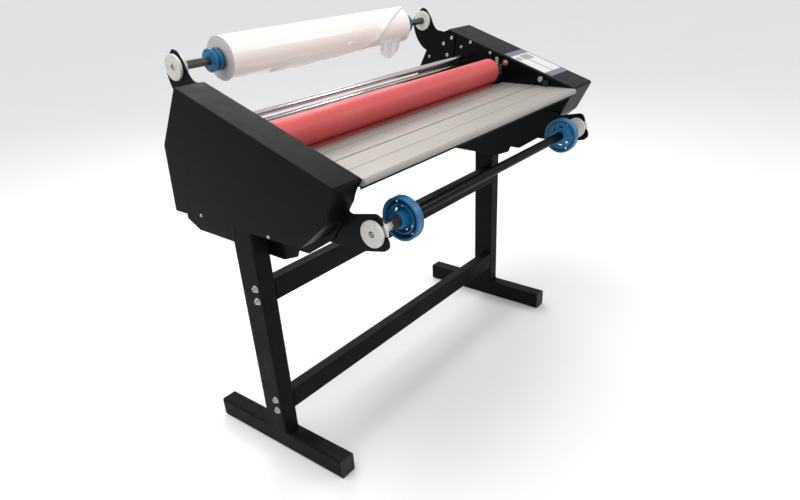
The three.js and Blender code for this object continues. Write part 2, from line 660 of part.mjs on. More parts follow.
// grooved bush: two flanges and a neck that sits in the arm's slot
function bushGeometry(side) {
  const neck = GROOVE_HALF;
  const outline = [
    [-BUSH_OUT, BUSH_R], [-neck, BUSH_R], [-neck, BUSH_NECK_R],
    [neck, BUSH_NECK_R], [neck, BUSH_R], [BUSH_OUT, BUSH_R],
  ];
  const body = turned([[-BUSH_OUT, 0], ...outline, [BUSH_OUT, 0]], 20);
  const geometry = cut(
    body,
    plate(hexagon(HEX_R + GAP, [0, 0]), -BUSH_OUT - 1, BUSH_OUT - 5 + GAP),
    rod(BUSH_OUT - 6, BUSH_OUT + 1, 7.5, [0, 0], 12),
  );
  return side < 0 ? geometry.rotateZ(Math.PI) : geometry;
}

// small chuck: flange, hub and a plug that fills the film core; its plug points towards +X
function coreChuckGeometry() {
  return ring([
    [0, 16], [2, 29], [9, 29], [9, 21], [34, 20], [34, 25], [60, 24.4],
  ], HEX_R + GAP, 24);
}

// large chuck: thick rim, thin pierced web, raised hub and inner ring facing -X
function discChuckGeometry() {
  const body = turned([
    [-21, HEX_R + GAP], [-21, 20], [4, 23], [4, 33], [-7, 33], [-7, 36.5], [4, 36.5], [4, 45],
    [-11, 46], [-11, 52], [11, 52], [11, 46], [10, 40], [10, HEX_R + GAP], [-21, HEX_R + GAP],
  ], 26);
  const holes = Array.from({ length: 6 }, (_, i) => {
    const a = (i + 0.5) * Math.PI / 3;
    return rod(-2, 16, 3.6, [41 * Math.cos(a), 41 * Math.sin(a)], 8);
  });
  return cut(body, ...holes);
}

const CORE_BORE = 25.4;
const CORE_OUT = 28;
const CHUCK_SEAT = 34;
const DISC_X = { left: -430, right: 366 };
for (const [prefix, axis] of [['supply', SUPPLY], ['lower', TAKEUP]]) {
  place(`${prefix}_shaft`, shaftGeometry(), prefix === 'supply' ? darkSteel : steel, [0, ...axis]);
  for (const [label, side] of SIDES) {
    place(`${prefix}_${label}_bush`, bushGeometry(side), whiteNylon, [ARM_MID[label], ...axis]);
  }
}
const coreEnds = [FILM_ENDS[0] - CORE_PAST_FILM[0], FILM_ENDS[1] + CORE_PAST_FILM[1]];
place('supply_left_chuck', coreChuckGeometry(), bluePlastic, [coreEnds[0] - CHUCK_SEAT + GAP, ...SUPPLY]);
place('supply_right_chuck', coreChuckGeometry().rotateZ(Math.PI), bluePlastic,
  [coreEnds[1] + CHUCK_SEAT - GAP, ...SUPPLY]);
place('film_core', ring([[coreEnds[0], CORE_OUT], [coreEnds[1], CORE_OUT]], CORE_BORE, 32), cardboard,
  [0, ...SUPPLY]);
place('film_roll', ring([[FILM_ENDS[0], FILM_R], [FILM_ENDS[1], FILM_R]], CORE_OUT + GAP, 32), filmWhite,
  [0, ...SUPPLY]);
place('lower_left_chuck', discChuckGeometry(), bluePlastic, [DISC_X.left, ...TAKEUP]);
place('lower_right_chuck', discChuckGeometry().rotateZ(Math.PI), bluePlastic, [DISC_X.right, ...TAKEUP]);

// ---------------------------------------------------------------- sensors and controls
const SENSOR = [-80, 921];
function sensorGeometry(side) {
  const inner = side < 0 ? -LEFT_WALL_IN : RIGHT_WALL;
  const profile = [[inner - 14, 0], [inner - 14, 5], [inner - 12, 6], [inner - 4, 6], [inner - 4, 9.5],
    [inner - GAP, 9.5], [inner - GAP, 0]];
  const geometry = turned(profile, 18);
  return side < 0 ? geometry.rotateZ(Math.PI) : geometry;
}
place('left_photo_sensor', sensorGeometry(-1), steel, [0, ...SENSOR]);
place('right_photo_sensor', sensorGeometry(1), redPlastic, [0, ...SENSOR]);

function stopButtonGeometry() {
  const x = COVER_HALF;
  return turned([
    [x - 12, 0], [x - 12, 10], [x + 8, 10], [x + 8, 17], [x + 11, 19], [x + 18, 18], [x + 21, 12], [x + 22, 0],
  ], 18);
}

function speedKnobGeometry() {
  const x = COVER_HALF;
  const body = turned([
    [x - 10, 0], [x - 10, 3.2], [x + 1, 3.2], [x + 1, 12], [x + 3, 12.5], [x + 15, 11], [x + 16, 10], [x + 16, 0],
  ], 16);
  return cut(body, box(x + 14, x + 18, -0.8, 0.8, 2, 14));
}

// rocker with its two faces dished apart, pivoting on an axis along Y
function rockerGeometry() {
  const x = COVER_HALF;
  const [h, v] = ROCKER_SIZE;
  const face = [[-h, -v], [h, -v], [h, v], [-h, v]];
  const body = plate(face, x - 8, x + 4);
  const dish = rod(-20, 20, 22, [0, 0], 32).rotateZ(Math.PI / 2).translate(x + 24.5, 0, 0);
  return cut(body, dish);
}

function inletGeometry() {
  const x = COVER_HALF;
  const [h, v] = INLET_SIZE;
  const flange = box(x + GAP, x + 3, -h - 9, h + 9, -v - 4, v + 4);
  const body = box(x - 26, x + 1, -h, h, -v, v);
  const socket = box(x - 16, x + 4, -h + 2.5, h - 2.5, -v + 3, v - 3);
  const pins = [-7, 0, 7].map((y) => box(x - 17, x - 4, y - 1, y + 1, -2, 3));
  return add(cut(add(flange, body), socket), ...pins);
}
place('emergency_stop', stopButtonGeometry(), redPlastic, [0, ...CONTROL.stop]);
place('speed_knob', speedKnobGeometry(), blackPlastic, [0, ...CONTROL.speed]);
place('direction_switch', rockerGeometry(), blackPlastic, [0, ...CONTROL.rocker]);
place('power_inlet', inletGeometry(), blackPlastic, [0, ...CONTROL.inlet]);

// ---------------------------------------------------------------- origin: centre of the footprint, on the floor
const extent = new THREE.Box3().setFromObject(machine);
const middle = extent.getCenter(new THREE.Vector3());
machine.position.set(-middle.x, -middle.y, 0);
const laminator = new THREE.Group();
laminator.add(machine);

export default laminator;
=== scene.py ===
"""Looks of the cold roll laminator: meshes, materials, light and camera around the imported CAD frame.

Meshes are drawn in millimetres in the machine's own frame: X = 0 midway between the legs, Y = 0 on
the front face of the stand, Z = 0 on the floor. piece() turns them into metres in the row frame.
"""
import math
import random

import bmesh
import bpy
from mathutils import Matrix, Vector


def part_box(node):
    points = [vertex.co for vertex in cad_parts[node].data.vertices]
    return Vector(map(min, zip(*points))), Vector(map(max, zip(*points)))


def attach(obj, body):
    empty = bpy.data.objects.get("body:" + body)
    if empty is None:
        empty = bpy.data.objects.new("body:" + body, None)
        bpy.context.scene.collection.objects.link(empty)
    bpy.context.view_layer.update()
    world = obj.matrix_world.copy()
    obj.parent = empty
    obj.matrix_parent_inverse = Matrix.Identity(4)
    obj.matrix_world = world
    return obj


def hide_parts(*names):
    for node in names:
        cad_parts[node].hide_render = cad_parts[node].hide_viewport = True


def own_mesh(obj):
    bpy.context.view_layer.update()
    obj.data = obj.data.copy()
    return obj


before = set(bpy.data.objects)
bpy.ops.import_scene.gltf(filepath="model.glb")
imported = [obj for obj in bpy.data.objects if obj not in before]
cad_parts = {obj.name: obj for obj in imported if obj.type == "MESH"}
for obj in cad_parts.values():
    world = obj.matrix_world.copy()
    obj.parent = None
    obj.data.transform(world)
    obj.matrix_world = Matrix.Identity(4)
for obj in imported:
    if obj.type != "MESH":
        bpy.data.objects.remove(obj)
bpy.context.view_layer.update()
random.seed(7)

MM = 0.001
ORIGIN = Vector((
    (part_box("left_leg")[0].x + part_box("right_leg")[1].x) / 2,
    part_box("upper_beam")[0].y,
    0,
))
X_AXIS = Vector((1, 0, 0))
Z_AXIS = Vector((0, 0, 1))
SIDES = (("left", -1), ("right", 1))


def at(x, y, z):
    """A point of the machine's own frame, in metres in the row frame."""
    return ORIGIN + Vector((x, y, z)) * MM


def box_mm(node):
    """Lowest and highest corner of a CAD node, in the machine's own frame in millimetres."""
    low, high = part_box(node)
    return (low - ORIGIN) / MM, (high - ORIGIN) / MM


def centre_mm(node):
    """Middle of a CAD node's box."""
    low, high = box_mm(node)
    return (low + high) / 2


def facing(node, side):
    """X of the face of a node's box that looks left for side -1 and right for side 1."""
    low, high = box_mm(node)
    return low.x if side < 0 else high.x


# ---------------------------------------------------------------- camera
CAMERA_PLACE = (-1.4946, -1.1679, 1.2778)
CAMERA_AZIMUTH = -51.54
CAMERA_DOWN = 29.37
CAMERA_ROLL = -2.75
CAMERA_LENS = 28.905
CAMERA_SHIFT = (-0.0174, 0.0683)


def add_camera():
    data = bpy.data.cameras.new("camera")
    data.lens = CAMERA_LENS
    data.shift_x, data.shift_y = CAMERA_SHIFT
    data.clip_start, data.clip_end = 0.05, 50
    camera = bpy.data.objects.new("camera", data)
    bpy.context.scene.collection.objects.link(camera)
    azimuth, down, roll = (math.radians(a) for a in (CAMERA_AZIMUTH, CAMERA_DOWN, CAMERA_ROLL))
    ahead = Vector((-math.sin(azimuth) * math.cos(down), math.cos(azimuth) * math.cos(down), -math.sin(down)))
    right = ahead.cross(Z_AXIS).normalized()
    up = right.cross(ahead)
    right, up = (
        math.cos(roll) * right + math.sin(roll) * up,
        math.cos(roll) * up - math.sin(roll) * right,
    )
    turn = Matrix((right, up, -ahead)).transposed()
    camera.matrix_world = Matrix.Translation(Vector(CAMERA_PLACE)) @ turn.to_4x4()
    bpy.context.scene.camera = camera


add_camera()


# ---------------------------------------------------------------- materials
def link(tree, source, target):
    tree.links.new(source, target)


def set_range(node, *numbers):
    """Sets a Map Range node's from and to ends."""
    for socket, number in zip(("From Min", "From Max", "To Min", "To Max"), numbers):
        node.inputs[socket].default_value = number


class Surface:
    """A Principled material whose colour, roughness and bump are built up from procedural layers."""

    def __init__(self, name, color, roughness, metallic=0.0, **sockets):
        self.material = bpy.data.materials.new(name)
        self.material.use_nodes = True
        self.tree = self.material.node_tree
        self.shader = self.tree.nodes["Principled BSDF"]
        self.shader.inputs["Metallic"].default_value = metallic
        for socket, value in sockets.items():
            self.shader.inputs[socket.replace("_", " ")].default_value = value
        self.place = self.node("ShaderNodeTexCoord").outputs["Object"]
        self.color = self.node("ShaderNodeRGB").outputs[0]
        self.color.default_value = (*color, 1)
        self.rough = self.node("ShaderNodeValue").outputs[0]
        self.rough.default_value = roughness
        self.height = None

    def node(self, kind):
        return self.tree.nodes.new(kind)

    def math(self, operation, a, b):
        node = self.node("ShaderNodeMath")
        node.operation = operation
        for socket, value in zip(node.inputs, (a, b)):
            if isinstance(value, (int, float)):
                socket.default_value = value
            else:
                link(self.tree, value, socket)
        return node.outputs[0]

    def noise(self, size, stretch=(1, 1, 1), detail=3.0, rough=0.55):
        """Noise between 0 and 1 with features of about `size` mm, longer along an axis by its `stretch`."""
        mapping = self.node("ShaderNodeMapping")
        mapping.inputs["Scale"].default_value = [1 / s for s in stretch]
        link(self.tree, self.place, mapping.inputs["Vector"])
        noise = self.node("ShaderNodeTexNoise")
        noise.inputs["Scale"].default_value = 1 / (size * MM)
        noise.inputs["Detail"].default_value = detail
        noise.inputs["Roughness"].default_value = rough
        link(self.tree, mapping.outputs[0], noise.inputs["Vector"])
        return noise.outputs["Fac"]

    def rings(self, centre, size):
        """Noise that changes only with the distance from an axis along X through `centre`."""
        shift = self.node("ShaderNodeVectorMath")
        shift.operation = "SUBTRACT"
        link(self.tree, self.place, shift.inputs[0])
        shift.inputs[1].default_value = centre
        flat = self.node("ShaderNodeVectorMath")
        flat.operation = "MULTIPLY"
        link(self.tree, shift.outputs[0], flat.inputs[0])
        flat.inputs[1].default_value = (0, 1, 1)
        length = self.node("ShaderNodeVectorMath")
        length.operation = "LENGTH"
        link(self.tree, flat.outputs[0], length.inputs[0])
        noise = self.node("ShaderNodeTexNoise")
        noise.noise_dimensions = "1D"
        noise.inputs["Scale"].default_value = 1 / (size * MM)
        noise.inputs["Detail"].default_value = 4
        link(self.tree, length.outputs["Value"], noise.inputs["W"])
        return noise.outputs["Fac"]

    def spread(self, value, low, high, out_low=0.0, out_high=1.0):
        """`value` stretched so that low..high becomes out_low..out_high."""
        node = self.node("ShaderNodeMapRange")
        link(self.tree, value, node.inputs["Value"])
        set_range(node, low, high, out_low, out_high)
        return node.outputs["Result"]

    def tint(self, mask, color, amount=1.0):
        """The colour turns towards `color` where `mask` is 1."""
        mix = self.node("ShaderNodeMix")
        mix.data_type = "RGBA"
        link(self.tree, self.math("MULTIPLY", mask, amount), mix.inputs["Factor"])
        link(self.tree, self.color, mix.inputs[6])
        mix.inputs[7].default_value = (*color, 1)
        self.color = mix.outputs[2]
        return self

    def shine(self, mask, change):
        """The roughness goes up by `change` where `mask` is 1."""
        self.rough = self.math("ADD", self.rough, self.math("MULTIPLY", mask, change))
        return self

    def patches(self, size, ends, color, amount, **noise):
        """Turns towards `color` in patches of about `size` mm, where the noise rises from end to end."""
        return self.tint(self.spread(self.noise(size, **noise), *ends), color, amount)

    def dull(self, size, change, **noise):
        """Rougher in soft patches of about `size` mm."""
        return self.shine(self.spread(self.noise(size, **noise), 0.3, 0.7), change)

    def relief(self, value, depth):
        """Adds `value` times `depth` mm to the height of the surface."""
        layer = self.math("MULTIPLY", value, depth * MM)
        self.height = layer if self.height is None else self.math("ADD", self.height, layer)
        return self

    def worn(self, color, amount=0.7):
        """Edges rubbed towards `color`, on the faces that bevels made, in patches."""
        edge = self.node("ShaderNodeAttribute")
        edge.attribute_name = "worn"
        patch = self.spread(self.noise(9), 0.42, 0.66)
        mask = self.math("MULTIPLY", edge.outputs["Fac"], patch)
        self.tint(mask, color, amount)
        return self.shine(mask, -0.12)

    def done(self):
        link(self.tree, self.color, self.shader.inputs["Base Color"])
        link(self.tree, self.rough, self.shader.inputs["Roughness"])
        if self.height is not None:
            bump = self.node("ShaderNodeBump")
            bump.inputs["Strength"].default_value = 1
            bump.inputs["Distance"].default_value = 1
            link(self.tree, self.height, bump.inputs["Height"])
            link(self.tree, bump.outputs[0], self.shader.inputs["Normal"])
        return self.material


def powder_black():
    """Fine textured powder coat of the stand."""
    s = Surface("powder_black", (0.0032, 0.0048, 0.0042), 0.46, Specular_IOR_Level=0.07)
    s.patches(260, (0.35, 0.7), (0.005, 0.006, 0.006), 0.8)
    s.dull(45, 0.12)
    s.relief(s.noise(1.6, detail=2), 0.10)
    return s.worn((0.06, 0.06, 0.062), 0.6).done()


def satin_black():
    """Smoother satin paint of the covers, plates and arms."""
    s = Surface(
        "satin_black", (0.0010, 0.0010, 0.0016), 0.40,
        Specular_IOR_Level=0.04, Coat_Weight=0.11, Coat_Roughness=0.16,
    )
    s.patches(180, (0.35, 0.7), (0.0018, 0.0018, 0.0032), 0.8)
    s.dull(30, 0.10)
    s.relief(s.noise(1.1, detail=2), 0.045)
    s.patches(2.2, (0.70, 0.76), (0.05, 0.05, 0.06), 0.4, detail=1)
    return s.worn((0.05, 0.05, 0.055), 0.7).done()


def black_plastic():
    s = Surface("black_plastic", (0.009, 0.009, 0.010), 0.5, Specular_IOR_Level=0.3)
    s.relief(s.noise(0.8, detail=1), 0.05)
    s.dull(12, 0.12)
    return s.worn((0.05, 0.05, 0.05), 0.5).done()


def red_plastic():
    s = Surface("red_plastic", (0.55, 0.015, 0.012), 0.28, Coat_Weight=0.4, Coat_Roughness=0.1)
    s.patches(14, (0.4, 0.7), (0.42, 0.01, 0.01), 0.5)
    s.relief(s.noise(0.9), 0.01)
    return s.done()


def turned_steel():
    """Zinc plated or turned steel, with fine marks round its axis."""
    s = Surface("turned_steel", (0.56, 0.56, 0.55), 0.26, metallic=1.0)
    marks = s.noise(0.5, stretch=(1, 60, 60))
    s.shine(marks, 0.14).relief(marks, 0.006)
    s.patches(25, (0.45, 0.75), (0.40, 0.39, 0.37), 0.6)
    return s.worn((0.8, 0.8, 0.8), 0.5).done()


def dark_steel():
    """Blackened steel of bolts, shafts and the motor."""
    s = Surface("dark_steel", (0.075, 0.074, 0.076), 0.30, metallic=0.85)
    s.patches(16, (0.4, 0.7), (0.13, 0.125, 0.12), 0.6)
    s.shine(s.noise(2), 0.14).relief(s.noise(1.2), 0.012)
    return s.worn((0.42, 0.42, 0.41), 0.8).done()


def chrome():
    """Hard chrome with hairline drag marks along the rod."""
    s = Surface("chrome", (0.52, 0.52, 0.53), 0.11, metallic=1.0)
    marks = s.noise(0.7, stretch=(220, 1, 1))
    s.shine(s.spread(marks, 0.45, 0.7), 0.10).relief(marks, 0.002)
    s.patches(40, (0.5, 0.8), (0.40, 0.39, 0.38), 0.5, stretch=(4, 1, 1))
    return s.done()


def aluminium():
    """Satin anodised extrusion with drawing lines along X."""
    s = Surface("aluminium", (0.345, 0.325, 0.30), 0.48, metallic=0.55)
    lines = s.noise(0.9, stretch=(400, 1, 1), detail=4)
    s.shine(s.spread(lines, 0.3, 0.7), 0.14).relief(lines, 0.012)
    s.tint(s.spread(lines, 0.35, 0.75), (0.285, 0.27, 0.25), 0.5)
    s.patches(120, (0.5, 0.8), (0.28, 0.265, 0.245), 0.5, stretch=(2, 1, 1))
    s.patches(3.5, (0.71, 0.76), (0.20, 0.19, 0.18), 0.5, stretch=(5, 1, 1), detail=1)
    return s.worn((0.7, 0.7, 0.68), 0.6).done()


def red_silicone():
    """Ground silicone rubber: matt, dusty, with faint marks round the roller."""
    s = Surface("red_silicone", (0.53, 0.066, 0.067), 0.42, Specular_IOR_Level=0.4)
    bands = s.noise(3.0, stretch=(1, 120, 120))
    s.tint(s.spread(bands, 0.4, 0.7), (0.47, 0.054, 0.056), 0.5)
    s.patches(70, (0.48, 0.75), (0.59, 0.11, 0.11), 0.6, stretch=(3, 1, 1))
    s.patches(1.3, (0.72, 0.78), (0.85, 0.5, 0.48), 0.5, detail=1)
    s.dull(28, 0.12, stretch=(3, 1, 1))
    s.relief(bands, 0.02).relief(s.noise(0.6, detail=1), 0.012)
    return s.done()


def white_nylon(name, centre):
    """Turned nylon with lathe rings on its faces and grey handling marks."""
    s = Surface(
        name, (0.60, 0.585, 0.55), 0.42,
        Subsurface_Weight=0.12, Subsurface_Radius=(0.004, 0.003, 0.002),
    )
    turning = s.rings(centre, 1.1)
    s.tint(s.spread(turning, 0.4, 0.7), (0.52, 0.505, 0.47), 0.6)
    s.patches(9, (0.5, 0.72), (0.40, 0.385, 0.36), 0.7)
    s.shine(turning, 0.1).relief(turning, 0.05)
    return s.done()


def blue_plastic(name, centre):
    """Moulded blue plastic, paler where it is scuffed."""
    s = Surface(
        name, (0.008, 0.115, 0.262), 0.32,
        Specular_IOR_Level=0.35, Coat_Weight=0.12, Coat_Roughness=0.25,
    )
    s.patches(22, (0.45, 0.75), (0.014, 0.15, 0.32), 0.6)
    s.patches(2.6, (0.66, 0.76), (0.16, 0.38, 0.54), 0.5)
    s.dull(10, 0.14)
    s.relief(s.rings(centre, 1.6), 0.03).relief(s.noise(1.1), 0.012)
    return s.worn((0.17, 0.40, 0.54), 0.9).done()


def blue_web_painted_shade():
    """The same plastic in the recesses of the large chucks, painted a darker blue as shade in the recesses;
    dull, with pale scuffs.
    """
    # The dark base colour is painted shade of the chuck's recesses, not a different plastic.
    s = Surface("blue_web_painted_shade", (0.002, 0.030, 0.085), 0.42, Specular_IOR_Level=0.3)
    s.patches(14, (0.45, 0.75), (0.004, 0.048, 0.125), 0.6)
    s.patches(2.6, (0.62, 0.74), (0.10, 0.24, 0.36), 0.6)
    s.relief(s.noise(1.1), 0.02)
    return s.done()


def film_white(centre):
    """Wound translucent film: milky, glossy, with winding bands, tinted warm pink as a painted reflection of
    the red roller and the room.
    """
    s = Surface(
        # The warm pink of these colours is painted reflection of the red roller and the room; the film itself
        # is milky white.
        "film_white", (0.86, 0.795, 0.765), 0.26,
        Coat_Weight=0.4, Coat_Roughness=0.14, Subsurface_Weight=0.2, Subsurface_Radius=(0.02, 0.014, 0.011),
    )
    bands = s.noise(7, stretch=(1, 30, 30), detail=4)
    s.tint(s.spread(bands, 0.45, 0.75), (0.83, 0.76, 0.73), 0.6)
    s.patches(110, (0.45, 0.75), (0.84, 0.765, 0.735), 0.6, stretch=(2.5, 1, 1))
    layers = s.rings(centre, 0.9)
    s.relief(bands, 0.05).relief(s.noise(45, stretch=(2, 1, 1)), 0.5).relief(layers, 0.03)
    return s.done()


def film_ends(centre):
    """End of the winding: grey with the edges of its layers."""
    s = Surface(
        "film_ends", (0.50, 0.47, 0.49), 0.38,
        Subsurface_Weight=0.1, Subsurface_Radius=(0.006, 0.005, 0.005),
    )
    layers = s.rings(centre, 0.9)
    s.tint(s.spread(layers, 0.35, 0.7), (0.60, 0.575, 0.59), 0.8)
    s.tint(s.spread(s.rings(centre, 5), 0.45, 0.7), (0.42, 0.40, 0.43), 0.6)
    s.relief(layers, 0.06)
    return s.done()


def loose_film():
    """The film's free end: clearer than the roll, and creased."""
    s = Surface("loose_film", (0.88, 0.86, 0.87), 0.2, Coat_Weight=0.5, Coat_Roughness=0.08, Alpha=0.78,
                Subsurface_Weight=0.15)
    s.relief(s.noise(8, detail=2), 0.6)
    s.shine(s.noise(20), 0.1)
    s.patches(11, (0.4, 0.7), (0.74, 0.70, 0.72), 0.6)
    return s.done()


def cardboard():
    """Spiral wound board: kraft brown with fibres and the seam of its plies."""
    s = Surface("cardboard", (0.40, 0.29, 0.17), 0.85, Sheen_Weight=0.2)
    s.patches(1.4, (0.35, 0.7), (0.30, 0.205, 0.115), 0.7, stretch=(1, 4, 4))
    s.relief(s.noise(0.8), 0.05)
    return s.done()


def label_ink(name, color):
    s = Surface(name, color, 0.30, Coat_Weight=0.5, Coat_Roughness=0.08)
    s.patches(12, (0.4, 0.7), tuple(c * 0.88 for c in color), 0.6)
    s.relief(s.noise(14), 0.03)
    return s.done()


def rubber_black():
    s = Surface("rubber_black", (0.012, 0.012, 0.013), 0.62, Specular_IOR_Level=0.4)
    s.patches(6, (0.45, 0.7), (0.028, 0.027, 0.026), 0.7)
    s.relief(s.noise(0.8), 0.04)
    return s.done()


SUPPLY = centre_mm("supply_shaft")
TAKEUP = centre_mm("lower_shaft")
SUPPLY_AXIS = at(*SUPPLY)
TAKEUP_AXIS = at(*TAKEUP)
POWDER = powder_black()
SATIN = satin_black()
PLASTIC = black_plastic()
RED_PLASTIC = red_plastic()
STEEL = turned_steel()
DARK = dark_steel()
CHROME = chrome()
ALUMINIUM = aluminium()
RED = red_silicone()
NYLON = {
    "supply": white_nylon("nylon_upper", SUPPLY_AXIS),
    "lower": white_nylon("nylon_lower", TAKEUP_AXIS),
}
BLUE = {
    "supply": blue_plastic("blue_upper", SUPPLY_AXIS),
    "lower": blue_plastic("blue_lower", TAKEUP_AXIS),
}
BLUE_WEB_PAINTED_SHADE = blue_web_painted_shade()
FILM = film_white(SUPPLY_AXIS)
FILM_ENDS = film_ends(SUPPLY_AXIS)
LOOSE_FILM = loose_film()
BOARD = cardboard()
RUBBER = rubber_black()


# ---------------------------------------------------------------- mesh tools
def piece(name, bm, body, material, replaces=(), smooth=35, weighted=True):
    """Turns a bmesh in millimetres into a shown piece that rides on `body`."""
    bmesh.ops.recalc_face_normals(bm, faces=bm.faces)
    for v in bm.verts:
        v.co = ORIGIN + v.co * MM
    mesh = bpy.data.meshes.new(name)
    bm.to_mesh(mesh)
    bm.free()
    mesh.shade_smooth()
    mesh.set_sharp_from_angle(angle=math.radians(smooth))
    obj = bpy.data.objects.new(name, mesh)
    bpy.context.scene.collection.objects.link(obj)
    materials = material if isinstance(material, (list, tuple)) else [material]
    for m in materials:
        mesh.materials.append(m)
    if weighted:
        modifier = obj.modifiers.new("normals", "WEIGHTED_NORMAL")
        modifier.keep_sharp = True
    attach(obj, body)
    if replaces:
        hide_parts(*replaces)
    return obj


def bevel(bm, width, steps=2, angle=25, edges=None):
    """Rounds the edges sharper than `angle`, and marks the new faces as worn."""
    worn = bm.faces.layers.float.get("worn") or bm.faces.layers.float.new("worn")
    bm.normal_update()
    if edges is None:
        edges = [e for e in bm.edges if e.is_manifold and e.calc_face_angle(0) > math.radians(angle)]
    made = bmesh.ops.bevel(
        bm, geom=edges, offset=width, segments=steps, profile=0.5, affect="EDGES", clamp_overlap=False,
    )
    for face in made["faces"]:
        face[worn] = 1
    return bm


def loft(bm, rings, closed=False):
    """Joins rings of equally many points with quads. Caps the ends unless the rings close on themselves."""
    loops = [[bm.verts.new(p) for p in ring] for ring in rings]
    count = len(loops[0])
    pairs = list(zip(loops, loops[1:])) + ([(loops[-1], loops[0])] if closed else [])
    for a, b in pairs:
        for i in range(count):
            j = (i + 1) % count
            bm.faces.new((a[i], a[j], b[j], b[i]))
    if not closed:
        bm.faces.new(loops[0])
        bm.faces.new(loops[-1])
    return bm


def circle(x, r, centre, count, phase=0.0):
    """Points of a circle round an axis along X."""
    angles = [phase + math.tau * i / count for i in range(count)]
    return [Vector((x, centre[0] + r * math.cos(a), centre[1] + r * math.sin(a))) for a in angles]


def lathe(bm, profile, centre, count=64, closed=False):
    """A body of revolution about X from [x, r] pairs. An open profile gets flat ends."""
    return loft(bm, [circle(x, max(r, 0.02), centre, count) for x, r in profile], closed)


def soften(points, size, steps=4, closed=True):
    """A 2D outline with its corners rounded over `size` mm, or over a size for each corner."""
    count = len(points)
    sizes = size if isinstance(size, (list, tuple)) else [size] * count
    out = []
    for i, p in enumerate(points):
        here = Vector(p)
        if not closed and i in (0, count - 1):
            out.append(here)
            continue
        before, after = Vector(points[i - 1]), Vector(points[(i + 1) % count])
        room = min(sizes[i], 0.48 * (before - here).length, 0.48 * (after - here).length)
        if room < 1e-6:
            out.append(here)
            continue
        a = here + (before - here).normalized() * room
        b = here + (after - here).normalized() * room
        for k in range(steps + 1):
            t = k / steps
            out.append(a * (1 - t) ** 2 + here * 2 * t * (1 - t) + b * t * t)
    return out


def curve(p0, p1, p2, p3, steps=14):
    """Points of a cubic curve after its first one."""
    p0, p1, p2, p3 = map(Vector, (p0, p1, p2, p3))
    out = []
    for k in range(1, steps + 1):
        t = k / steps
        out.append(p0 * (1 - t) ** 3 + p1 * 3 * t * (1 - t) ** 2 + p2 * 3 * t * t * (1 - t) + p3 * t ** 3)
    return out


def prism(bm, outline, x0, x1):
    """A plate with a Y, Z outline between two X planes."""
    return loft(bm, [[Vector((x, y, z)) for y, z in outline] for x in (x0, x1)])


def block(bm, low, high):
    """A box between two corners."""
    outline = [(low[1], low[2]), (high[1], low[2]), (high[1], high[2]), (low[1], high[2])]
    return prism(bm, outline, low[0], high[0])


def tube(bm, low, high, axis, radius, steps=5):
    """A bar with a rounded rectangular section that runs along `axis` between two corners."""
    u, v = [i for i in range(3) if i != axis]
    corners = [(low[u], low[v]), (high[u], low[v]), (high[u], high[v]), (low[u], high[v])]
    rings = []
    for end in (low[axis], high[axis]):
        ring = []
        for a, b in soften(corners, radius, steps):
            point = [0.0, 0.0, 0.0]
            point[axis], point[u], point[v] = end, a, b
            ring.append(Vector(point))
        rings.append(ring)
    return loft(bm, rings)


def basis(out):
    """Two directions square to `out` and to each other."""
    out = Vector(out).normalized()
    u = out.cross(Z_AXIS if abs(out.z) < 0.9 else X_AXIS).normalized()
    return u, out.cross(u)


def ring_at(centre, out, r, count=24, flats=0, turn=0.0):
    """A circle, or a regular polygon with `flats` sides and inner radius r, square to `out`."""
    u, v = basis(out)
    points = []
    for i in range(count):
        a = math.tau * i / count
        radius = r
        if flats:
            half = math.pi / flats
            radius = r / math.cos((a + half) % (2 * half) - half)
        points.append(centre + u * radius * math.cos(a + turn) + v * radius * math.sin(a + turn))
    return points


def socket_screw(bm, centre, out, radius, height, dome=0.35, washer=0.0, count=24):
    """A screw head with a hexagon socket, `height` mm off `centre`, with a washer if it has a radius."""
    centre, out = Vector(centre), Vector(out).normalized()
    if washer:
        loft(bm, [
            ring_at(centre - out, out, washer, count), ring_at(centre + out * 1.2, out, washer, count),
            ring_at(centre + out * 1.6, out, washer - 0.5, count),
        ])
    turn = random.uniform(0, math.pi / 3)
    key = radius * 0.5
    steps = [(-0.5, radius, 0), (height * (1 - dome), radius, 0)]
    steps += [(height * (1 - dome + dome * math.sin(a)), radius * (0.72 + 0.28 * math.cos(a)), 0)
              for a in (0.5, 1.0, 1.5)]
    steps += [
        (height, key * 1.25, 0), (height - 0.4, key * 1.05, 6), (height * 0.1, key, 6),
        (height * 0.05, key * 0.4, 0),
    ]
    return loft(bm, [ring_at(centre + out * h, out, r, count, flats, turn) for h, r, flats in steps])


def refined(node, body, material, width, steps=2, name=None):
    """A CAD solid with its flat faces joined up and its edges rounded over `width` mm."""
    bm = bmesh.new()
    bm.from_mesh(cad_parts[node].data)
    for v in bm.verts:
        v.co = (v.co - ORIGIN) / MM
    bmesh.ops.remove_doubles(bm, verts=bm.verts, dist=0.01)
    bmesh.ops.dissolve_limit(bm, angle_limit=math.radians(0.5), verts=bm.verts, edges=bm.edges)
    for face in bm.faces:
        face.material_index = 0
    bevel(bm, width, steps)
    return piece(name or f"{node}_body", bm, body, material, [node])


def carve(obj, cutters):
    """Cuts holes in a finished piece with throwaway bmeshes drawn in millimetres."""
    cutter = bmesh.new()
    for bm in cutters:
        bmesh.ops.recalc_face_normals(bm, faces=bm.faces)
        mesh = bpy.data.meshes.new("cut")
        bm.to_mesh(mesh)
        bm.free()
        cutter.from_mesh(mesh)
        bpy.data.meshes.remove(mesh)
    for v in cutter.verts:
        v.co = ORIGIN + v.co * MM
    mesh = bpy.data.meshes.new("cutter")
    cutter.to_mesh(mesh)
    cutter.free()
    tool = bpy.data.objects.new("cutter", mesh)
    bpy.context.scene.collection.objects.link(tool)
    modifier = obj.modifiers.new("cut", "BOOLEAN")
    modifier.operation, modifier.solver, modifier.object = "DIFFERENCE", "EXACT", tool
    modifier.use_self = True
    apply_modifiers(obj)
    bpy.data.objects.remove(tool)
    bpy.data.meshes.remove(mesh)
    return obj


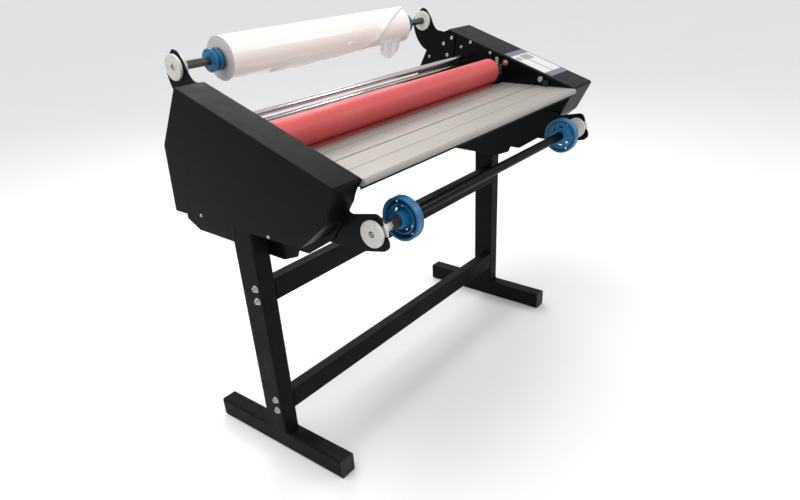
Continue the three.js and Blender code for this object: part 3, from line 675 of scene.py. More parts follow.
def apply_modifiers(obj):
    """Bakes the modifiers into the mesh, then adds the normals modifier again."""
    for modifier in list(obj.modifiers):
        if modifier.type == "WEIGHTED_NORMAL":
            obj.modifiers.remove(modifier)
    bpy.context.view_layer.update()
    made = bpy.data.meshes.new_from_object(obj.evaluated_get(bpy.context.evaluated_depsgraph_get()))
    obj.modifiers.clear()
    obj.data = made
    made.shade_smooth()
    made.set_sharp_from_angle(angle=math.radians(35))
    obj.modifiers.new("normals", "WEIGHTED_NORMAL").keep_sharp = True


# ---------------------------------------------------------------- stand
def add_leg(label):
    """Foot tube and upright tube with the weld between them."""
    low, high = box_mm(f"{label}_leg")
    foot_top = box_mm(f"{label}_foot_front_cap")[1].z
    beam = box_mm("upper_beam")
    upright_back = max((v.co.y - ORIGIN.y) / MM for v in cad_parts[f"{label}_leg"].data.vertices
                       if v.co.z / MM > 2 * foot_top)
    corner = 6.5
    bm = bmesh.new()
    tube(bm, low, (high.x, high.y, foot_top), 1, corner)
    tube(bm, (low.x, beam[0].y, foot_top - 3), (high.x, upright_back, high.z), 2, corner)
    piece(f"{label}_leg_tubes", bm, "frame", POWDER, [f"{label}_leg"])

    bm = bmesh.new()
    bead = 3.2
    for y, way in ((beam[0].y, -1), (upright_back, 1)):
        rings = []
        count = 40
        for i in range(count + 1):
            x = low.x + 4 + (high.x - low.x - 8) * i / count
            ripple = bead * (0.86 + 0.14 * math.cos(i * math.pi) + random.uniform(-0.06, 0.06))
            centre = Vector((x, y + way * 0.4, foot_top + 0.2))
            rings.append([
                centre + Vector((0, way * math.cos(a), math.sin(a))) * ripple
                for a in (-0.5, 0.1, 0.6, 1.1, 1.6, 2.3, 3.4, 4.6)
            ])
        loft(bm, rings)
    piece(f"{label}_leg_weld", bm, "frame", POWDER, smooth=60, weighted=False)


def add_foot_cap(label, end):
    """Plastic plug with a crowned face and a step where it enters the tube."""
    node = f"{label}_foot_{end}_cap"
    low, high = box_mm(node)
    way = -1 if end == "front" else 1
    outer = low.y if way < 0 else high.y
    face = 3.4

    def section(inset, y, radius=6.0):
        corners = [
            (low.x + inset, low.z + inset), (high.x - inset, low.z + inset),
            (high.x - inset, high.z - inset), (low.x + inset, high.z - inset),
        ]
        return [Vector((x, y, z)) for x, z in soften(corners, radius, 5)]

    bm = bmesh.new()
    loft(bm, [
        section(3.4, outer - way * (face + 12), 4), section(3.4, outer - way * face, 4),
        section(0.1, outer - way * face), section(0.1, outer - way * 1.4), section(0.7, outer - way * 0.5),
        section(1.9, outer), section(7.5, outer), section(8.5, outer - way * 0.8, 4),
        section(12, outer - way * 0.8, 3),
    ])
    piece(f"{node}_plug", bm, "frame", PLASTIC, [node])


def add_beam(name):
    low, high = box_mm(name)
    bm = tube(bmesh.new(), low, high, 0, 5)
    piece(f"{name}_tube", bm, "frame", POWDER, [name])


def add_beam_bolts(label, side):
    """Socket screws with washers on the outer face of the upright."""
    node = f"{label}_beam_bolts"
    face = facing(f"{label}_leg", side)
    screws, washers, sockets = bmesh.new(), bmesh.new(), bmesh.new()
    out = Vector((side, 0, 0))
    for beam in ("lower_beam", "upper_beam"):
        low, high = box_mm(beam)
        for z in (low.z + 12, high.z - 12):
            centre = Vector((face, (low.y + high.y) / 2, z))
            socket_screw(screws, centre + out * 1.6, out, 6.6, 6.2, dome=0.12)
            # A black plug inside each hex socket: painted shade in the socket recess.
            loft(sockets, [ring_at(centre + out * d, out, 3.1, 24) for d in (2.0, 5.4)])
            rims = ((-0.4, 10), (1.3, 10), (1.9, 9.3))
            loft(washers, [ring_at(centre + out * d, out, r, 36) for d, r in rims])
    piece(f"{label}_beam_screws", screws, "frame", STEEL, [node])
    piece(f"{label}_beam_washers", washers, "frame", STEEL)
    piece(f"{label}_beam_socket_shade", sockets, "frame", RUBBER)


for label, side in SIDES:
    add_leg(label)
    add_foot_cap(label, "front")
    add_foot_cap(label, "rear")
    add_beam_bolts(label, side)
add_beam("lower_beam")
add_beam("upper_beam")


# ---------------------------------------------------------------- plates, ties and arms
for label, side in SIDES:
    refined(f"{label}_frame_plate", "frame", SATIN, 0.6)
refined("right_stand_spacer", "frame", SATIN, 1.2)
refined("table_support", "frame", SATIN, 0.5)
tie_low, tie_high = box_mm("rear_tie_bar")
tie = tube(bmesh.new(), tie_low, tie_high, 0, 4.5)
piece("rear_tie_tube", tie, "frame", SATIN, ["rear_tie_bar"])

SLOT_R = 12.6
SLOT_REACH = 60
UPPER_SLOT_ANGLE = math.pi / 4
LOWER_SLOT_ANGLE = math.pi * 0.9


def slot_cutter(axis, angle, x0, x1):
    """Round-bottomed slot from a shaft axis out through the edge of an arm."""
    ahead = Vector((math.cos(angle), math.sin(angle)))
    across = Vector((-ahead.y, ahead.x)) * SLOT_R
    start = Vector((axis.y, axis.z))
    bend = [start + across.normalized() * SLOT_R * math.cos(a) - ahead * SLOT_R * math.sin(a)
            for a in [math.pi * i / 24 for i in range(25)]]
    outline = [start + ahead * SLOT_REACH - across, start + ahead * SLOT_REACH + across]
    return prism(bmesh.new(), outline[1:] + bend + outline[:1], x0 - 1, x1 + 1)


def upper_arm_outline():
    return (
        [Vector((128, 917)), Vector((241, 946))]
        + curve((241, 946), (262, 952), (288, 985), (292, 1022))
        + soften([(292, 1022), (292, 1046), (284, 1055), (252, 1082), (236, 1077), (218, 1050)],
                 [0, 6, 4, 4, 6, 0], 3, closed=False)[1:]
        + curve((218, 1050), (208, 1026), (200, 1012), (186, 1011))
        + [Vector((117, 1000))]
    )


def lower_arm_outline():
    return (
        soften([(-200, 705), (-205, 690), (-300, 688), (-376, 704), (-388, 714), (-388, 728), (-383, 737),
                (-373, 768)], [0, 4, 10, 8, 5, 5, 5, 0], 3, closed=False)
        + curve((-373, 768), (-369, 782), (-362, 786), (-352, 785))
        + [Vector((-292, 773))]
        + curve((-292, 773), (-283, 772), (-280, 776), (-276, 782))
        + [Vector((-215, 782))]
    )


def add_arm(node, outline, axis, angle):
    low, high = box_mm(node)
    bm = prism(bmesh.new(), outline, low.x, high.x)
    arm = piece(f"{node}_plate", bm, "frame", SATIN, [node])
    carve(arm, [slot_cutter(axis, angle, low.x, high.x)])
    bm = bmesh.new()
    bm.from_mesh(arm.data)
    bmesh.ops.dissolve_limit(bm, angle_limit=math.radians(0.5), verts=bm.verts, edges=bm.edges)
    bevel(bm, 0.6 * MM, 2, 50)
    bm.to_mesh(arm.data)
    bm.free()
    arm.data.shade_smooth()
    arm.data.set_sharp_from_angle(angle=math.radians(35))


for label, side in SIDES:
    add_arm(f"{label}_upper_arm", upper_arm_outline(), SUPPLY, UPPER_SLOT_ANGLE)
    add_arm(f"{label}_lower_arm", lower_arm_outline(), TAKEUP, LOWER_SLOT_ANGLE)

ARM_BOLTS = ((130, 990), (164, 970), (150, 934))
PLATE_BOLTS = ((58, 978), (95, 962), (230, 924), (-20, 948), (-236, 848))


def add_arm_bolts(label, side):
    """Zinc plated button heads on the arm and on the inner face of the frame plate."""
    arm_face = facing(f"{label}_upper_arm", -side)
    wall_face = facing(f"{label}_frame_plate", -side)
    bm = bmesh.new()
    for y, z in ARM_BOLTS:
        socket_screw(bm, (arm_face, y, z), (-side, 0, 0), 6.2, 3.6, dome=0.75)
    piece(f"{label}_arm_screws", bm, "frame", STEEL, [f"{label}_arm_bolts"])
    bm = bmesh.new()
    for y, z in PLATE_BOLTS:
        socket_screw(bm, (wall_face, y, z), (-side, 0, 0), 5.2, 3.2, dome=0.75)
    piece(f"{label}_plate_screws", bm, "frame", STEEL)


for label, side in SIDES:
    add_arm_bolts(label, side)


# ---------------------------------------------------------------- side covers
COVER_SHEET = 2.0
COVER_CORNER = 3.6
REAR_CORNER = 3.0
REAR_FROM = 255
NOSE_FOLD = 9.0
BEND_ROUND = 3.2


def cover_outline():
    """Corners of the cover's flat side, in order round it, as Y and Z."""
    face = box_mm("left_cover")[0].x
    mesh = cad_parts["left_cover"].data
    found = {}
    for v in mesh.vertices:
        p = (v.co - ORIGIN) / MM
        if abs(p.x - face) < 0.1:
            found[(round(p.y, 1), round(p.z, 1))] = True
    middle = Vector([sum(p[i] for p in found) / len(found) for i in range(2)])
    ordered = sorted(found, key=lambda p: math.atan2(p[1] - middle.y, p[0] - middle.x))
    start = min(range(len(ordered)), key=lambda i: ordered[i][1] * 10 - ordered[i][0] * 0.01)
    ordered = ordered[start:] + ordered[:start]
    return [Vector(p) for p in ordered]


OUTLINE = cover_outline()
NOSE = min(OUTLINE, key=lambda p: p.x)
TOP_BACK = max(OUTLINE, key=lambda p: p.y)
NOSE_BELOW = min((p for p in OUTLINE if p != NOSE), key=lambda p: p.x)
SLOPE = math.atan2(TOP_BACK.y - NOSE.y, TOP_BACK.x - NOSE.x)


def inset(points, size):
    """A convex 2D outline moved inwards by `size` mm, corner by corner."""
    count = len(points)
    area = sum(points[i].cross(points[(i + 1) % count]) for i in range(count))
    way = 1 if area > 0 else -1
    out = []
    for i, p in enumerate(points):
        a = (p - points[i - 1]).normalized()
        b = (points[(i + 1) % count] - p).normalized()
        na, nb = Vector((-a.y, a.x)) * way, Vector((-b.y, b.x)) * way
        out.append(p + (na + nb) * size / (1 + na.dot(nb)))
    return out


def inset_strip(points, size):
    """A thin outline with each corner moved a little towards the middle of its neighbours."""
    if not size:
        return points
    count = len(points)
    area = sum(points[i].cross(points[(i + 1) % count]) for i in range(count))
    way = 1 if area > 0 else -1
    out = []
    for i, p in enumerate(points):
        run = (points[(i + 1) % count] - points[i - 1]).normalized()
        out.append(p + Vector((-run.y, run.x)) * way * size)
    return out


def folded_box(outline, x_open, x_closed, rim, steps=5):
    """A box along X with a Y, Z outline, rounded over `rim` mm where it meets its closed end."""
    way = 1 if x_closed > x_open else -1
    rings = [(x_open, outline)]
    for i in range(steps + 1):
        a = math.pi / 2 * i / steps
        rings.append((x_closed - way * rim * (1 - math.sin(a)), inset(outline, rim * (1 - math.cos(a)))))
    return loft(bmesh.new(), [[Vector((x, *p)) for p in points] for x, points in rings])


def control_holes(face):
    """Cutters for the lift shaft, the controls and the inlet in the right cover."""
    x0, x1 = face - 9, face + 9
    holes = []
    for node, r in (("lift_shaft", 8.5), ("emergency_stop", 11), ("speed_knob", 4)):
        centre = centre_mm(node)
        holes.append(lathe(bmesh.new(), [(x0, r), (x1, r)], (centre.y, centre.z), 40))
    for node, inset_y in (("direction_switch", -0.4), ("power_inlet", 8.6)):
        low, high = box_mm(node)
        inset_z = inset_y if inset_y < 0 else 3.6
        holes.append(block(
            bmesh.new(), (x0, low.y + inset_y, low.z + inset_z), (x1, high.y - inset_y, high.z - inset_z),
        ))
    return holes


def add_cover(label, side):
    """Folded sheet cover, open below and towards the frame plate, with a lip over the plate's edge."""
    node = f"{label}_cover"
    low, high = box_mm(node)
    outer, lip = facing(node, side), facing(node, -side)
    wall = facing(f"{label}_frame_plate", side) + side * 0.3
    sizes = [NOSE_FOLD if p == NOSE else COVER_CORNER for p in OUTLINE]
    corners = list(OUTLINE)
    below = 20
    for i, p in enumerate(OUTLINE):
        if abs(p.y - low.z) < 0.5:
            above = max(OUTLINE[i - 1], OUTLINE[(i + 1) % len(OUTLINE)], key=lambda q: q.y)
            corners[i] = p + (p - above) * (below / (above.y - p.y))
            sizes[i] = 0
    sizes = [min(size, REAR_CORNER) if OUTLINE[i].x > REAR_FROM else size for i, size in enumerate(sizes)]
    outline = soften(corners, sizes, 5)
    bm = folded_box(outline, wall, outer, BEND_ROUND)
    shell = piece(f"{label}_cover_shell", bm, "frame", SATIN, [node])
    inner = inset(outline, COVER_SHEET)
    hollow = folded_box(inner, wall - side * 2, outer - side * COVER_SHEET, BEND_ROUND - COVER_SHEET)
    past_x, past = 9, 90
    ground = block(
        bmesh.new(), (min(wall, outer) - past_x, low.y - past, low.z - past),
        (max(wall, outer) + past_x, high.y + past, low.z),
    )
    carve(shell, [hollow])
    carve(shell, [ground])
    if side > 0:
        carve(shell, control_holes(outer))

    ahead = Vector((math.cos(SLOPE), math.sin(SLOPE)))
    under = (NOSE_BELOW - NOSE).normalized()
    across, inward = Vector((ahead.y, -ahead.x)), Vector((-under.y, under.x))
    fold, turn_in = 3.0, 14.0
    back, front = TOP_BACK - ahead * 4, NOSE + under * turn_in
    corner = NOSE + (across + inward) * fold / (1 + across.dot(inward))
    strip = soften([back, NOSE, front, front + inward * fold, corner, back + across * fold],
                   [0, NOSE_FOLD, 0, 0, NOSE_FOLD * 0.6, 0], 5)
    rings = []
    for x, size in ((wall, 0), (lip + side * 0.8, 0), (lip + side * 0.25, 0.2), (lip, 0.7)):
        ring = []
        for p in inset_strip(strip, size):
            tuck = 5 * max(0, 1 - (p - NOSE).length / 15) ** 2 if size else 0
            ring.append(Vector((x + side * tuck * (0.3 + size), *p)))
        rings.append(ring)
    piece(f"{label}_cover_lip", loft(bmesh.new(), rings), "frame", SATIN)


for label, side in SIDES:
    add_cover(label, side)


# ---------------------------------------------------------------- CAD solids with softened edges
for label, side in SIDES:
    refined(f"{label}_lift_carriage", "lift", DARK, 0.5)
refined("drive_motor", "frame", DARK, 0.8)
refined("roller_gear", "lower_roller", STEEL, 0.25, 1)
refined("motor_pinion", "motor_pinion", STEEL, 0.25, 1)


# ---------------------------------------------------------------- rollers
def add_roller(which, body):
    core, sleeve = box_mm(f"{which}_roller_core"), box_mm(f"{which}_roller_sleeve")
    middle = (core[0] + core[1]) / 2
    axis = (middle.y, middle.z)
    r = (sleeve[1].z - sleeve[0].z) / 2
    x0, x1 = sleeve[0].x, sleeve[1].x
    edge, steps = 5.5, 6
    angles = [math.pi / 2 * i / steps for i in range(steps + 1)]
    shoulder = [(edge * (1 - math.cos(a)), r - edge * (1 - math.sin(a))) for a in angles]
    profile = [(x0 + dx, y) for dx, y in shoulder] + [(x1 - dx, y) for dx, y in reversed(shoulder)]
    profile = [(x0, r - 7)] + profile + [(x1, r - 7)]
    bm = lathe(bmesh.new(), profile, axis, 128)
    piece(f"{which}_roller_rubber", bm, body, RED, [f"{which}_roller_sleeve"], smooth=50)
    journal = 9.8
    profile = [
        (core[0].x, journal - 1.2), (core[0].x + 1.2, journal), (x0 - 0.4, journal), (x0 - 0.4, 27),
        (x0 + 1, 28.5), (x1 - 1, 28.5), (x1 + 0.4, 27), (x1 + 0.4, journal),
        (core[1].x - 1.2, journal), (core[1].x, journal - 1.2),
    ]
    bm = lathe(bmesh.new(), profile, axis, 64)
    piece(f"{which}_roller_shaft", bm, body, STEEL, [f"{which}_roller_core"])


add_roller("upper", "upper_roller")
add_roller("lower", "lower_roller")


def add_rod(node, body):
    low, high = box_mm(node)
    middle = (low + high) / 2
    r = (high.z - low.z) / 2
    wall_left, wall_right = box_mm("left_frame_plate")[1].x, box_mm("right_frame_plate")[0].x
    left, right = wall_left + 19.7, wall_right - 14
    stub = r * 0.66
    profile = [
        (low.x, stub), (left, stub), (left, r - 1), (left + 1, r),
        (right - 1, r), (right, r - 1), (right, stub), (high.x, stub),
    ]
    bm = lathe(bmesh.new(), profile, (middle.y, middle.z), 64)
    piece(f"{node}_bar", bm, body, CHROME, [node])


add_rod("idler_rod", "idler_rod")
add_rod("guide_rod", "frame")

for label, side in SIDES:
    node = f"{label}_roller_bearing"
    low, high = box_mm(node)
    middle, r = (low + high) / 2, (high.z - low.z) / 2
    profile = [(low.x, 11), (low.x, r - 5), (high.x, r - 5), (high.x, 11)]
    out_x = low.x if side < 0 else high.x
    flange = [
        (out_x, 11), (out_x, r - 0.8), (out_x - side * 0.8, r),
        (out_x - side * 3.6, r), (out_x - side * 3.6, 11),
    ]
    bm = lathe(bmesh.new(), profile, (middle.y, middle.z), 48)
    lathe(bm, flange, (middle.y, middle.z), 48)
    piece(f"{node}_ring", bm, "frame", STEEL, [node])


# ---------------------------------------------------------------- pressure springs
def add_spring(label):
    node = f"{label}_pressure_spring"
    low, high = box_mm(node)
    middle = (low + high) / 2
    wire, r, turns = 1.15, 6.6, 5
    z0, z1 = low.z + wire, high.z - wire
    count, sides = turns * 28, 10
    rings = []
    for i in range(count + 1):
        t = i / count
        closing = 0.5 / turns
        rise = min(max((t - closing) / (1 - 2 * closing), 0), 1)
        a = math.tau * turns * t
        out = Vector((math.cos(a), math.sin(a), 0))
        centre = Vector((middle.x, middle.y, z0 + (z1 - z0) * rise)) + out * r
        rings.append([
            centre + (out * math.cos(b) + Z_AXIS * math.sin(b)) * wire
            for b in [math.tau * k / sides for k in range(sides)]
        ])
    obj = piece(f"{label}_spring_coil", loft(bmesh.new(), rings), "frame", STEEL, [node], 60, False)
    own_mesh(obj)


add_spring("left")
add_spring("right")


# ---------------------------------------------------------------- work table
def add_table():
    """Ribbed extrusion: a panel with two dark grooves and a rounded nose strip."""
    low, high = box_mm("table_panel")
    grooves = (-190.5, -121.5)
    top, bottom = high.z, low.z
    outline = [(low.y, bottom), (high.y - 15, bottom), (high.y, top - 1), (high.y, top)]
    for y in sorted(grooves, reverse=True):
        outline += [
            (y + 3.0, top), (y + 2.2, top - 1.0), (y + 2.2, top - 8),
            (y - 2.2, top - 8), (y - 2.2, top - 1.0), (y - 3.0, top),
        ]
    outline.append((low.y, top))
    bm = bevel(prism(bmesh.new(), outline, low.x, high.x), 0.25, 1, 60)
    piece("table_panel_extrusion", bm, "frame", ALUMINIUM, ["table_panel"])
    low, high = box_mm("table_nose")
    r = (high.z - low.z) / 2
    angles = [math.pi * i / 28 for i in range(29)]
    arc = [(low.y + r - r * math.sin(a), low.z + r + r * math.cos(a)) for a in angles]
    bm = bevel(prism(bmesh.new(), [(high.y, low.z), (high.y, high.z)] + arc, low.x, high.x), 0.4, 1, 60)
    piece("table_nose_extrusion", bm, "frame", ALUMINIUM, ["table_nose"])


add_table()


# ---------------------------------------------------------------- film shafts, bushes and chucks
def add_shaft(prefix, body, material):
    """Hexagonal shaft between the bushes, with turned ends."""
    low, high = box_mm(f"{prefix}_shaft")
    centre = centre_mm(f"{prefix}_shaft")
    bm = bmesh.new()
    half = 9.5
    ends = [(low.x + 3.5, half - 1.2), (low.x + 4.7, half), (high.x - 4.7, half), (high.x - 3.5, half - 1.2)]
    rings = []
    for x, r in ends:
        ring = []
        for i in range(6):
            for turn in (-0.06, 0.06):
                a = math.tau * i / 6 + turn
                ring.append(Vector((x, centre.y + r / math.cos(math.pi / 6) * math.cos(a),
                                    centre.z + r / math.cos(math.pi / 6) * math.sin(a))))
        rings.append(ring)
    loft(bm, rings)
    piece(f"{prefix}_shaft_bar", bm, body, material, [f"{prefix}_shaft"], smooth=20)
    if prefix == "lower":
        x0, x1 = box_mm("lower_left_chuck")[1].x + 0.5, box_mm("lower_right_chuck")[0].x - 0.5
        profile = [(x0, 9.6), (x0, 11.6), (x0 + 1, 12.4), (x1 - 1, 12.4), (x1, 11.6), (x1, 9.6)]
        bm = lathe(bmesh.new(), profile, (centre.y, centre.z), 48, closed=True)
        piece("lower_shaft_sleeve", bm, body, SATIN)


def add_bush(prefix, label, side, body):
    """Grooved nylon bush with a bolt in the hole of its outer face."""
    node = f"{prefix}_{label}_bush"
    low, high = box_mm(node)
    middle, r = (low + high) / 2, (high.z - low.z) / 2
    axis = (middle.y, middle.z)
    out = side

    def x_at(d):
        return middle.x + out * d

    profile = [
        (6.5, 0), (6.5, 7.6), (11.1, 7.6), (11.4, 8.0), (11.5, 12), (11.2, 12.4),
        (11.2, 13.2), (11.5, 13.6), (11.5, r - 1.2), (11.1, r - 0.4), (10.3, r), (4.6, r),
        (3.8, r - 0.5), (3.5, r - 1.2), (3.5, 12), (-3.5, 12), (-3.5, r - 1.2), (-3.8, r - 0.5),
        (-4.6, r), (-10.3, r), (-11.1, r - 0.4), (-11.5, r - 1.2), (-11.5, 10.5),
    ]
    bm = lathe(bmesh.new(), [(x_at(d), rr) for d, rr in profile], axis, 72)
    piece(f"{node}_body", bm, body, NYLON[prefix], [node])
    bm = socket_screw(bmesh.new(), (x_at(6.6), *axis), (out, 0, 0), 4.6, 4.0, dome=0.4)
    piece(f"{prefix}_{label}_end_bolt", bm, body, STEEL)
    # A thin dark steel disc behind the bolt: painted shade at the bottom of the bush's bore.
    bm = lathe(bmesh.new(), [(x_at(6.3), 7.4), (x_at(6.9), 7.4)], axis, 32)
    piece(f"{prefix}_{label}_end_hole_shade", bm, body, DARK)


def add_core_chuck(label, side):
    """Small chuck: drilled flange, groove, and a ribbed plug that enters the film core."""
    node = f"supply_{label}_chuck"
    middle = centre_mm(node)
    axis = (middle.y, middle.z)
    outer = facing(node, side)

    def x_at(d):
        return outer - side * d

    profile = [
        (0, 10.4), (0, 15), (0.6, 16), (1.2, 24), (1.6, 27.6), (2.6, 28.8), (7.6, 29), (8.7, 28.2),
        (9.1, 27), (9.1, 21.4), (9.8, 20.8), (17.5, 20.8), (18.2, 21.6), (18.6, 26.2), (19.4, 27),
        (25.4, 27), (26.4, 26.2),
        (26.6, 22), (33.6, 21.6), (33.7, 24.6), (59.2, 24.2), (60, 23.4), (60, 10.4),
    ]
    bm = lathe(bmesh.new(), [(x_at(d), r) for d, r in profile], axis, 72, closed=True)
    chuck = piece(f"{node}_body", bm, "supply_reel", BLUE["supply"], [node])
    holes = []
    for i in range(6):
        a = math.tau * (i + 0.25) / 6
        centre = (axis[0] + 22.6 * math.cos(a), axis[1] + 22.6 * math.sin(a))
        x0, x1 = sorted((x_at(-2), x_at(12)))
        holes.append(lathe(bmesh.new(), [(x0, 2.6), (x1, 2.6)], centre, 24))
    carve(chuck, holes)
    bm = socket_screw(bmesh.new(), (x_at(22.5), axis[0], axis[1] + 26.6), (0, 0, 1), 2.6, 1.6, dome=0.2)
    piece(f"supply_{label}_chuck_screw", bm, "supply_reel", DARK)


def sector(r0, r1, a0, a1, axis, x0, x1, steps=8):
    """A block cut from a ring round an axis along X."""
    angles = [a0 + (a1 - a0) * i / steps for i in range(steps + 1)]
    points = [(axis[0] + r1 * math.cos(a), axis[1] + r1 * math.sin(a)) for a in angles]
    points += [(axis[0] + r0 * math.cos(a), axis[1] + r0 * math.sin(a)) for a in reversed(angles)]
    return prism(bmesh.new(), points, min(x0, x1), max(x0, x1))


def add_disc_chuck(label, side):
    """Large chuck: pale thick rim, pierced and pocketed web, ring wall and hub."""
    node = f"lower_{label}_chuck"
    middle = centre_mm(node)
    axis = (middle.y, middle.z)
    hub_face = facing(node, side)

    def x_at(d):
        return hub_face - side * (d + 21)

    profile = [
        (-21, 9.9), (-21, 18.4), (-20.2, 19.4), (-18, 20), (-4, 20.4), (3, 22.6), (4, 24),
        (4, 31.6), (3.2, 32.6), (-6, 33), (-7, 33.6), (-7, 35.6), (-6, 36.4), (3.2, 37), (4, 38),
        (4, 44.2), (3.2, 45.2), (-9.8, 46), (-11, 47), (-11, 50.6), (-9.8, 51.8), (-8, 52),
        (-2.4, 51.4), (2.4, 51.4), (8, 52), (9.8, 51.8), (11, 50.6),
        (11, 47), (10, 45.5), (9, 41), (9, 24), (10, 22), (10, 9.9),
    ]
    bm = lathe(bmesh.new(), [(x_at(d), r) for d, r in profile], axis, 96, closed=True)
    # Web faces get the darker blue: painted shade in the recesses between rim, ring wall and hub.
    for face in bm.faces:
        middle = face.calc_center_median()
        r = math.hypot(middle.y - axis[0], middle.z - axis[1])
        face.material_index = 1 if 23.5 < r < 31.6 or 37.5 < r < 45.5 else 0
    chuck = piece(f"{node}_body", bm, "lower_reel", [BLUE["lower"], BLUE_WEB_PAINTED_SHADE], [node])
    cutters = []
    for i in range(6):
        a = math.tau * i / 6
        centre = (axis[0] + 41 * math.cos(a), axis[1] + 41 * math.sin(a))
        x0, x1 = sorted((x_at(-2), x_at(16)))
        cutters.append(lathe(bmesh.new(), [(x0, 3.3), (x1, 3.3)], centre, 24))
        b = a + math.tau / 12
        cutters.append(sector(38.4, 43.8, b - 0.13, b + 0.13, axis, x_at(2), x_at(6.4)))
        cutters.append(sector(25.2, 30.4, b - 0.3, b + 0.3, axis, x_at(2), x_at(12)))
        cutters.append(sector(25.6, 30.0, a - 0.1, a + 0.1, axis, x_at(2), x_at(6.4)))
    carve(chuck, cutters)


def add_collar(label, side):
    """Black lock sleeve on the lower shaft beside the chuck hub, with its grub screw."""
    x0 = facing(f"lower_{label}_chuck", side)
    axis = (TAKEUP.y, TAKEUP.z)

    def x_at(d):
        return x0 + side * d

    profile = [
        (0.2, 9.9), (0.2, 13), (0.9, 13.8), (18, 13.8), (18.8, 13.2), (24, 13.2), (24.8, 12.4), (24.8, 9.9),
    ]
    bm = lathe(bmesh.new(), [(x_at(d), r) for d, r in profile], axis, 48, closed=True)
    piece(f"lower_{label}_collar", bm, "lower_reel", RUBBER)
    bm = socket_screw(bmesh.new(), (x_at(9), axis[0], axis[1] + 13.4), (0, 0, 1), 2.6, 1.2, dome=0.2)
    piece(f"lower_{label}_collar_screw", bm, "lower_reel", DARK)


REELS = {"supply": "supply_reel", "lower": "lower_reel"}
add_shaft("supply", "supply_reel", DARK)
add_shaft("lower", "lower_reel", STEEL)
for label, side in SIDES:
    for prefix, body in REELS.items():
        add_bush(prefix, label, side, body)
    add_core_chuck(label, side)
    add_disc_chuck(label, side)
    add_collar(label, side)


# ---------------------------------------------------------------- film
def add_film():
    """Film roll whose end layers are a little out of line, on its board core."""
    low, high = box_mm("film_roll")
    axis = (SUPPLY.y, SUPPLY.z)
    r_out = (high.z - low.z) / 2
    r_in = 28.3
    layers = 16

    def end(x, way):
        ring = []
        for i in range(layers + 1):
            r = r_in + (r_out - 1.2 - r_in) * i / layers
            ring.append((x - way * random.uniform(0, 0.9), r))
            ring.append((x - way * random.uniform(0, 0.5), r + 0.9 * (r_out - r_in) / layers * 0.9))
        return ring[:-1]

    left = end(low.x, -1)
    right = end(high.x, 1)
    count = 60
    middle = []
    for i in range(count + 1):
        x = low.x + 0.6 + (high.x - low.x - 1.2) * i / count
        middle.append((x, r_out - 0.25 * (1 + math.sin(i * 0.9) * 0.5 + math.sin(i * 0.37 + 1)) / 2))
    profile = left + middle + list(reversed(right))
    bm = lathe(bmesh.new(), profile, axis, 128, closed=True)
    bm.normal_update()
    for face in bm.faces:
        face.material_index = 1 if abs(face.normal.x) > 0.5 else 0
    piece("film_winding", bm, "supply_reel", [FILM, FILM_ENDS], ["film_roll"], smooth=50)

    low, high = box_mm("film_core")
    profile = [
        (low.x, 25.5), (low.x, 27.6), (low.x + 0.5, 28), (high.x - 0.5, 28), (high.x, 27.6), (high.x, 25.5),
    ]
    bm = lathe(bmesh.new(), profile, axis, 72, closed=True)
    piece("film_core_tube", bm, "supply_reel", BOARD, ["film_core"])


FILM_EDGE = (
    (347, 104), (322, 113), (285, 130), (240, 150), (202, 172), (165, 198), (140, 212), (98, 224), (10, 233),
    (-80, 241), (-170, 249), (-260, 258),
)


def around_film(x, along, lift):
    """A point `lift` mm off the film roll, `along` mm round it from the back towards the top."""
    low, high = box_mm("film_roll")
    r = (high.z - low.z) / 2
    a = along / r
    return Vector((x, SUPPLY.y + (r + lift) * math.cos(a), SUPPLY.z + (r + lift) * math.sin(a)))


def add_film_edge():
    """Slanted edge of the outermost wrap, curled up a little off the roll."""
    low, high = box_mm("film_roll")
    r = (high.z - low.z) / 2
    path = soften([(x, r * math.radians(a)) for x, a in FILM_EDGE], 24, 5, closed=False)
    across, width = 9, 34
    bm = bmesh.new()
    rows = []
    for i, p in enumerate(path):
        run = (path[min(i + 1, len(path) - 1)] - path[max(i - 1, 0)]).normalized()
        inward = Vector((-run.y, run.x))
        curl = 3.4 * (0.8 + 0.2 * math.sin(i * 0.7)) * (1.5 if 0.45 < i / len(path) < 0.75 else 1)
        row = []
        for k in range(across + 1):
            w = k / across
            q = p + inward * width * (1 - w)
            lift = -0.6 + 1.3 * w + curl * w ** 4
            row.append(bm.verts.new(around_film(min(q.x, high.x + 16), q.y, lift)))
        rows.append(row)
    for a, b in zip(rows, rows[1:]):
        for k in range(across):
            bm.faces.new((a[k], b[k], b[k + 1], a[k + 1]))
    edge = piece("film_edge", bm, "supply_reel", FILM, smooth=80, weighted=False)
    modifier = edge.modifiers.new("thickness", "SOLIDIFY")
    modifier.thickness, modifier.offset = 0.35 * MM, 1


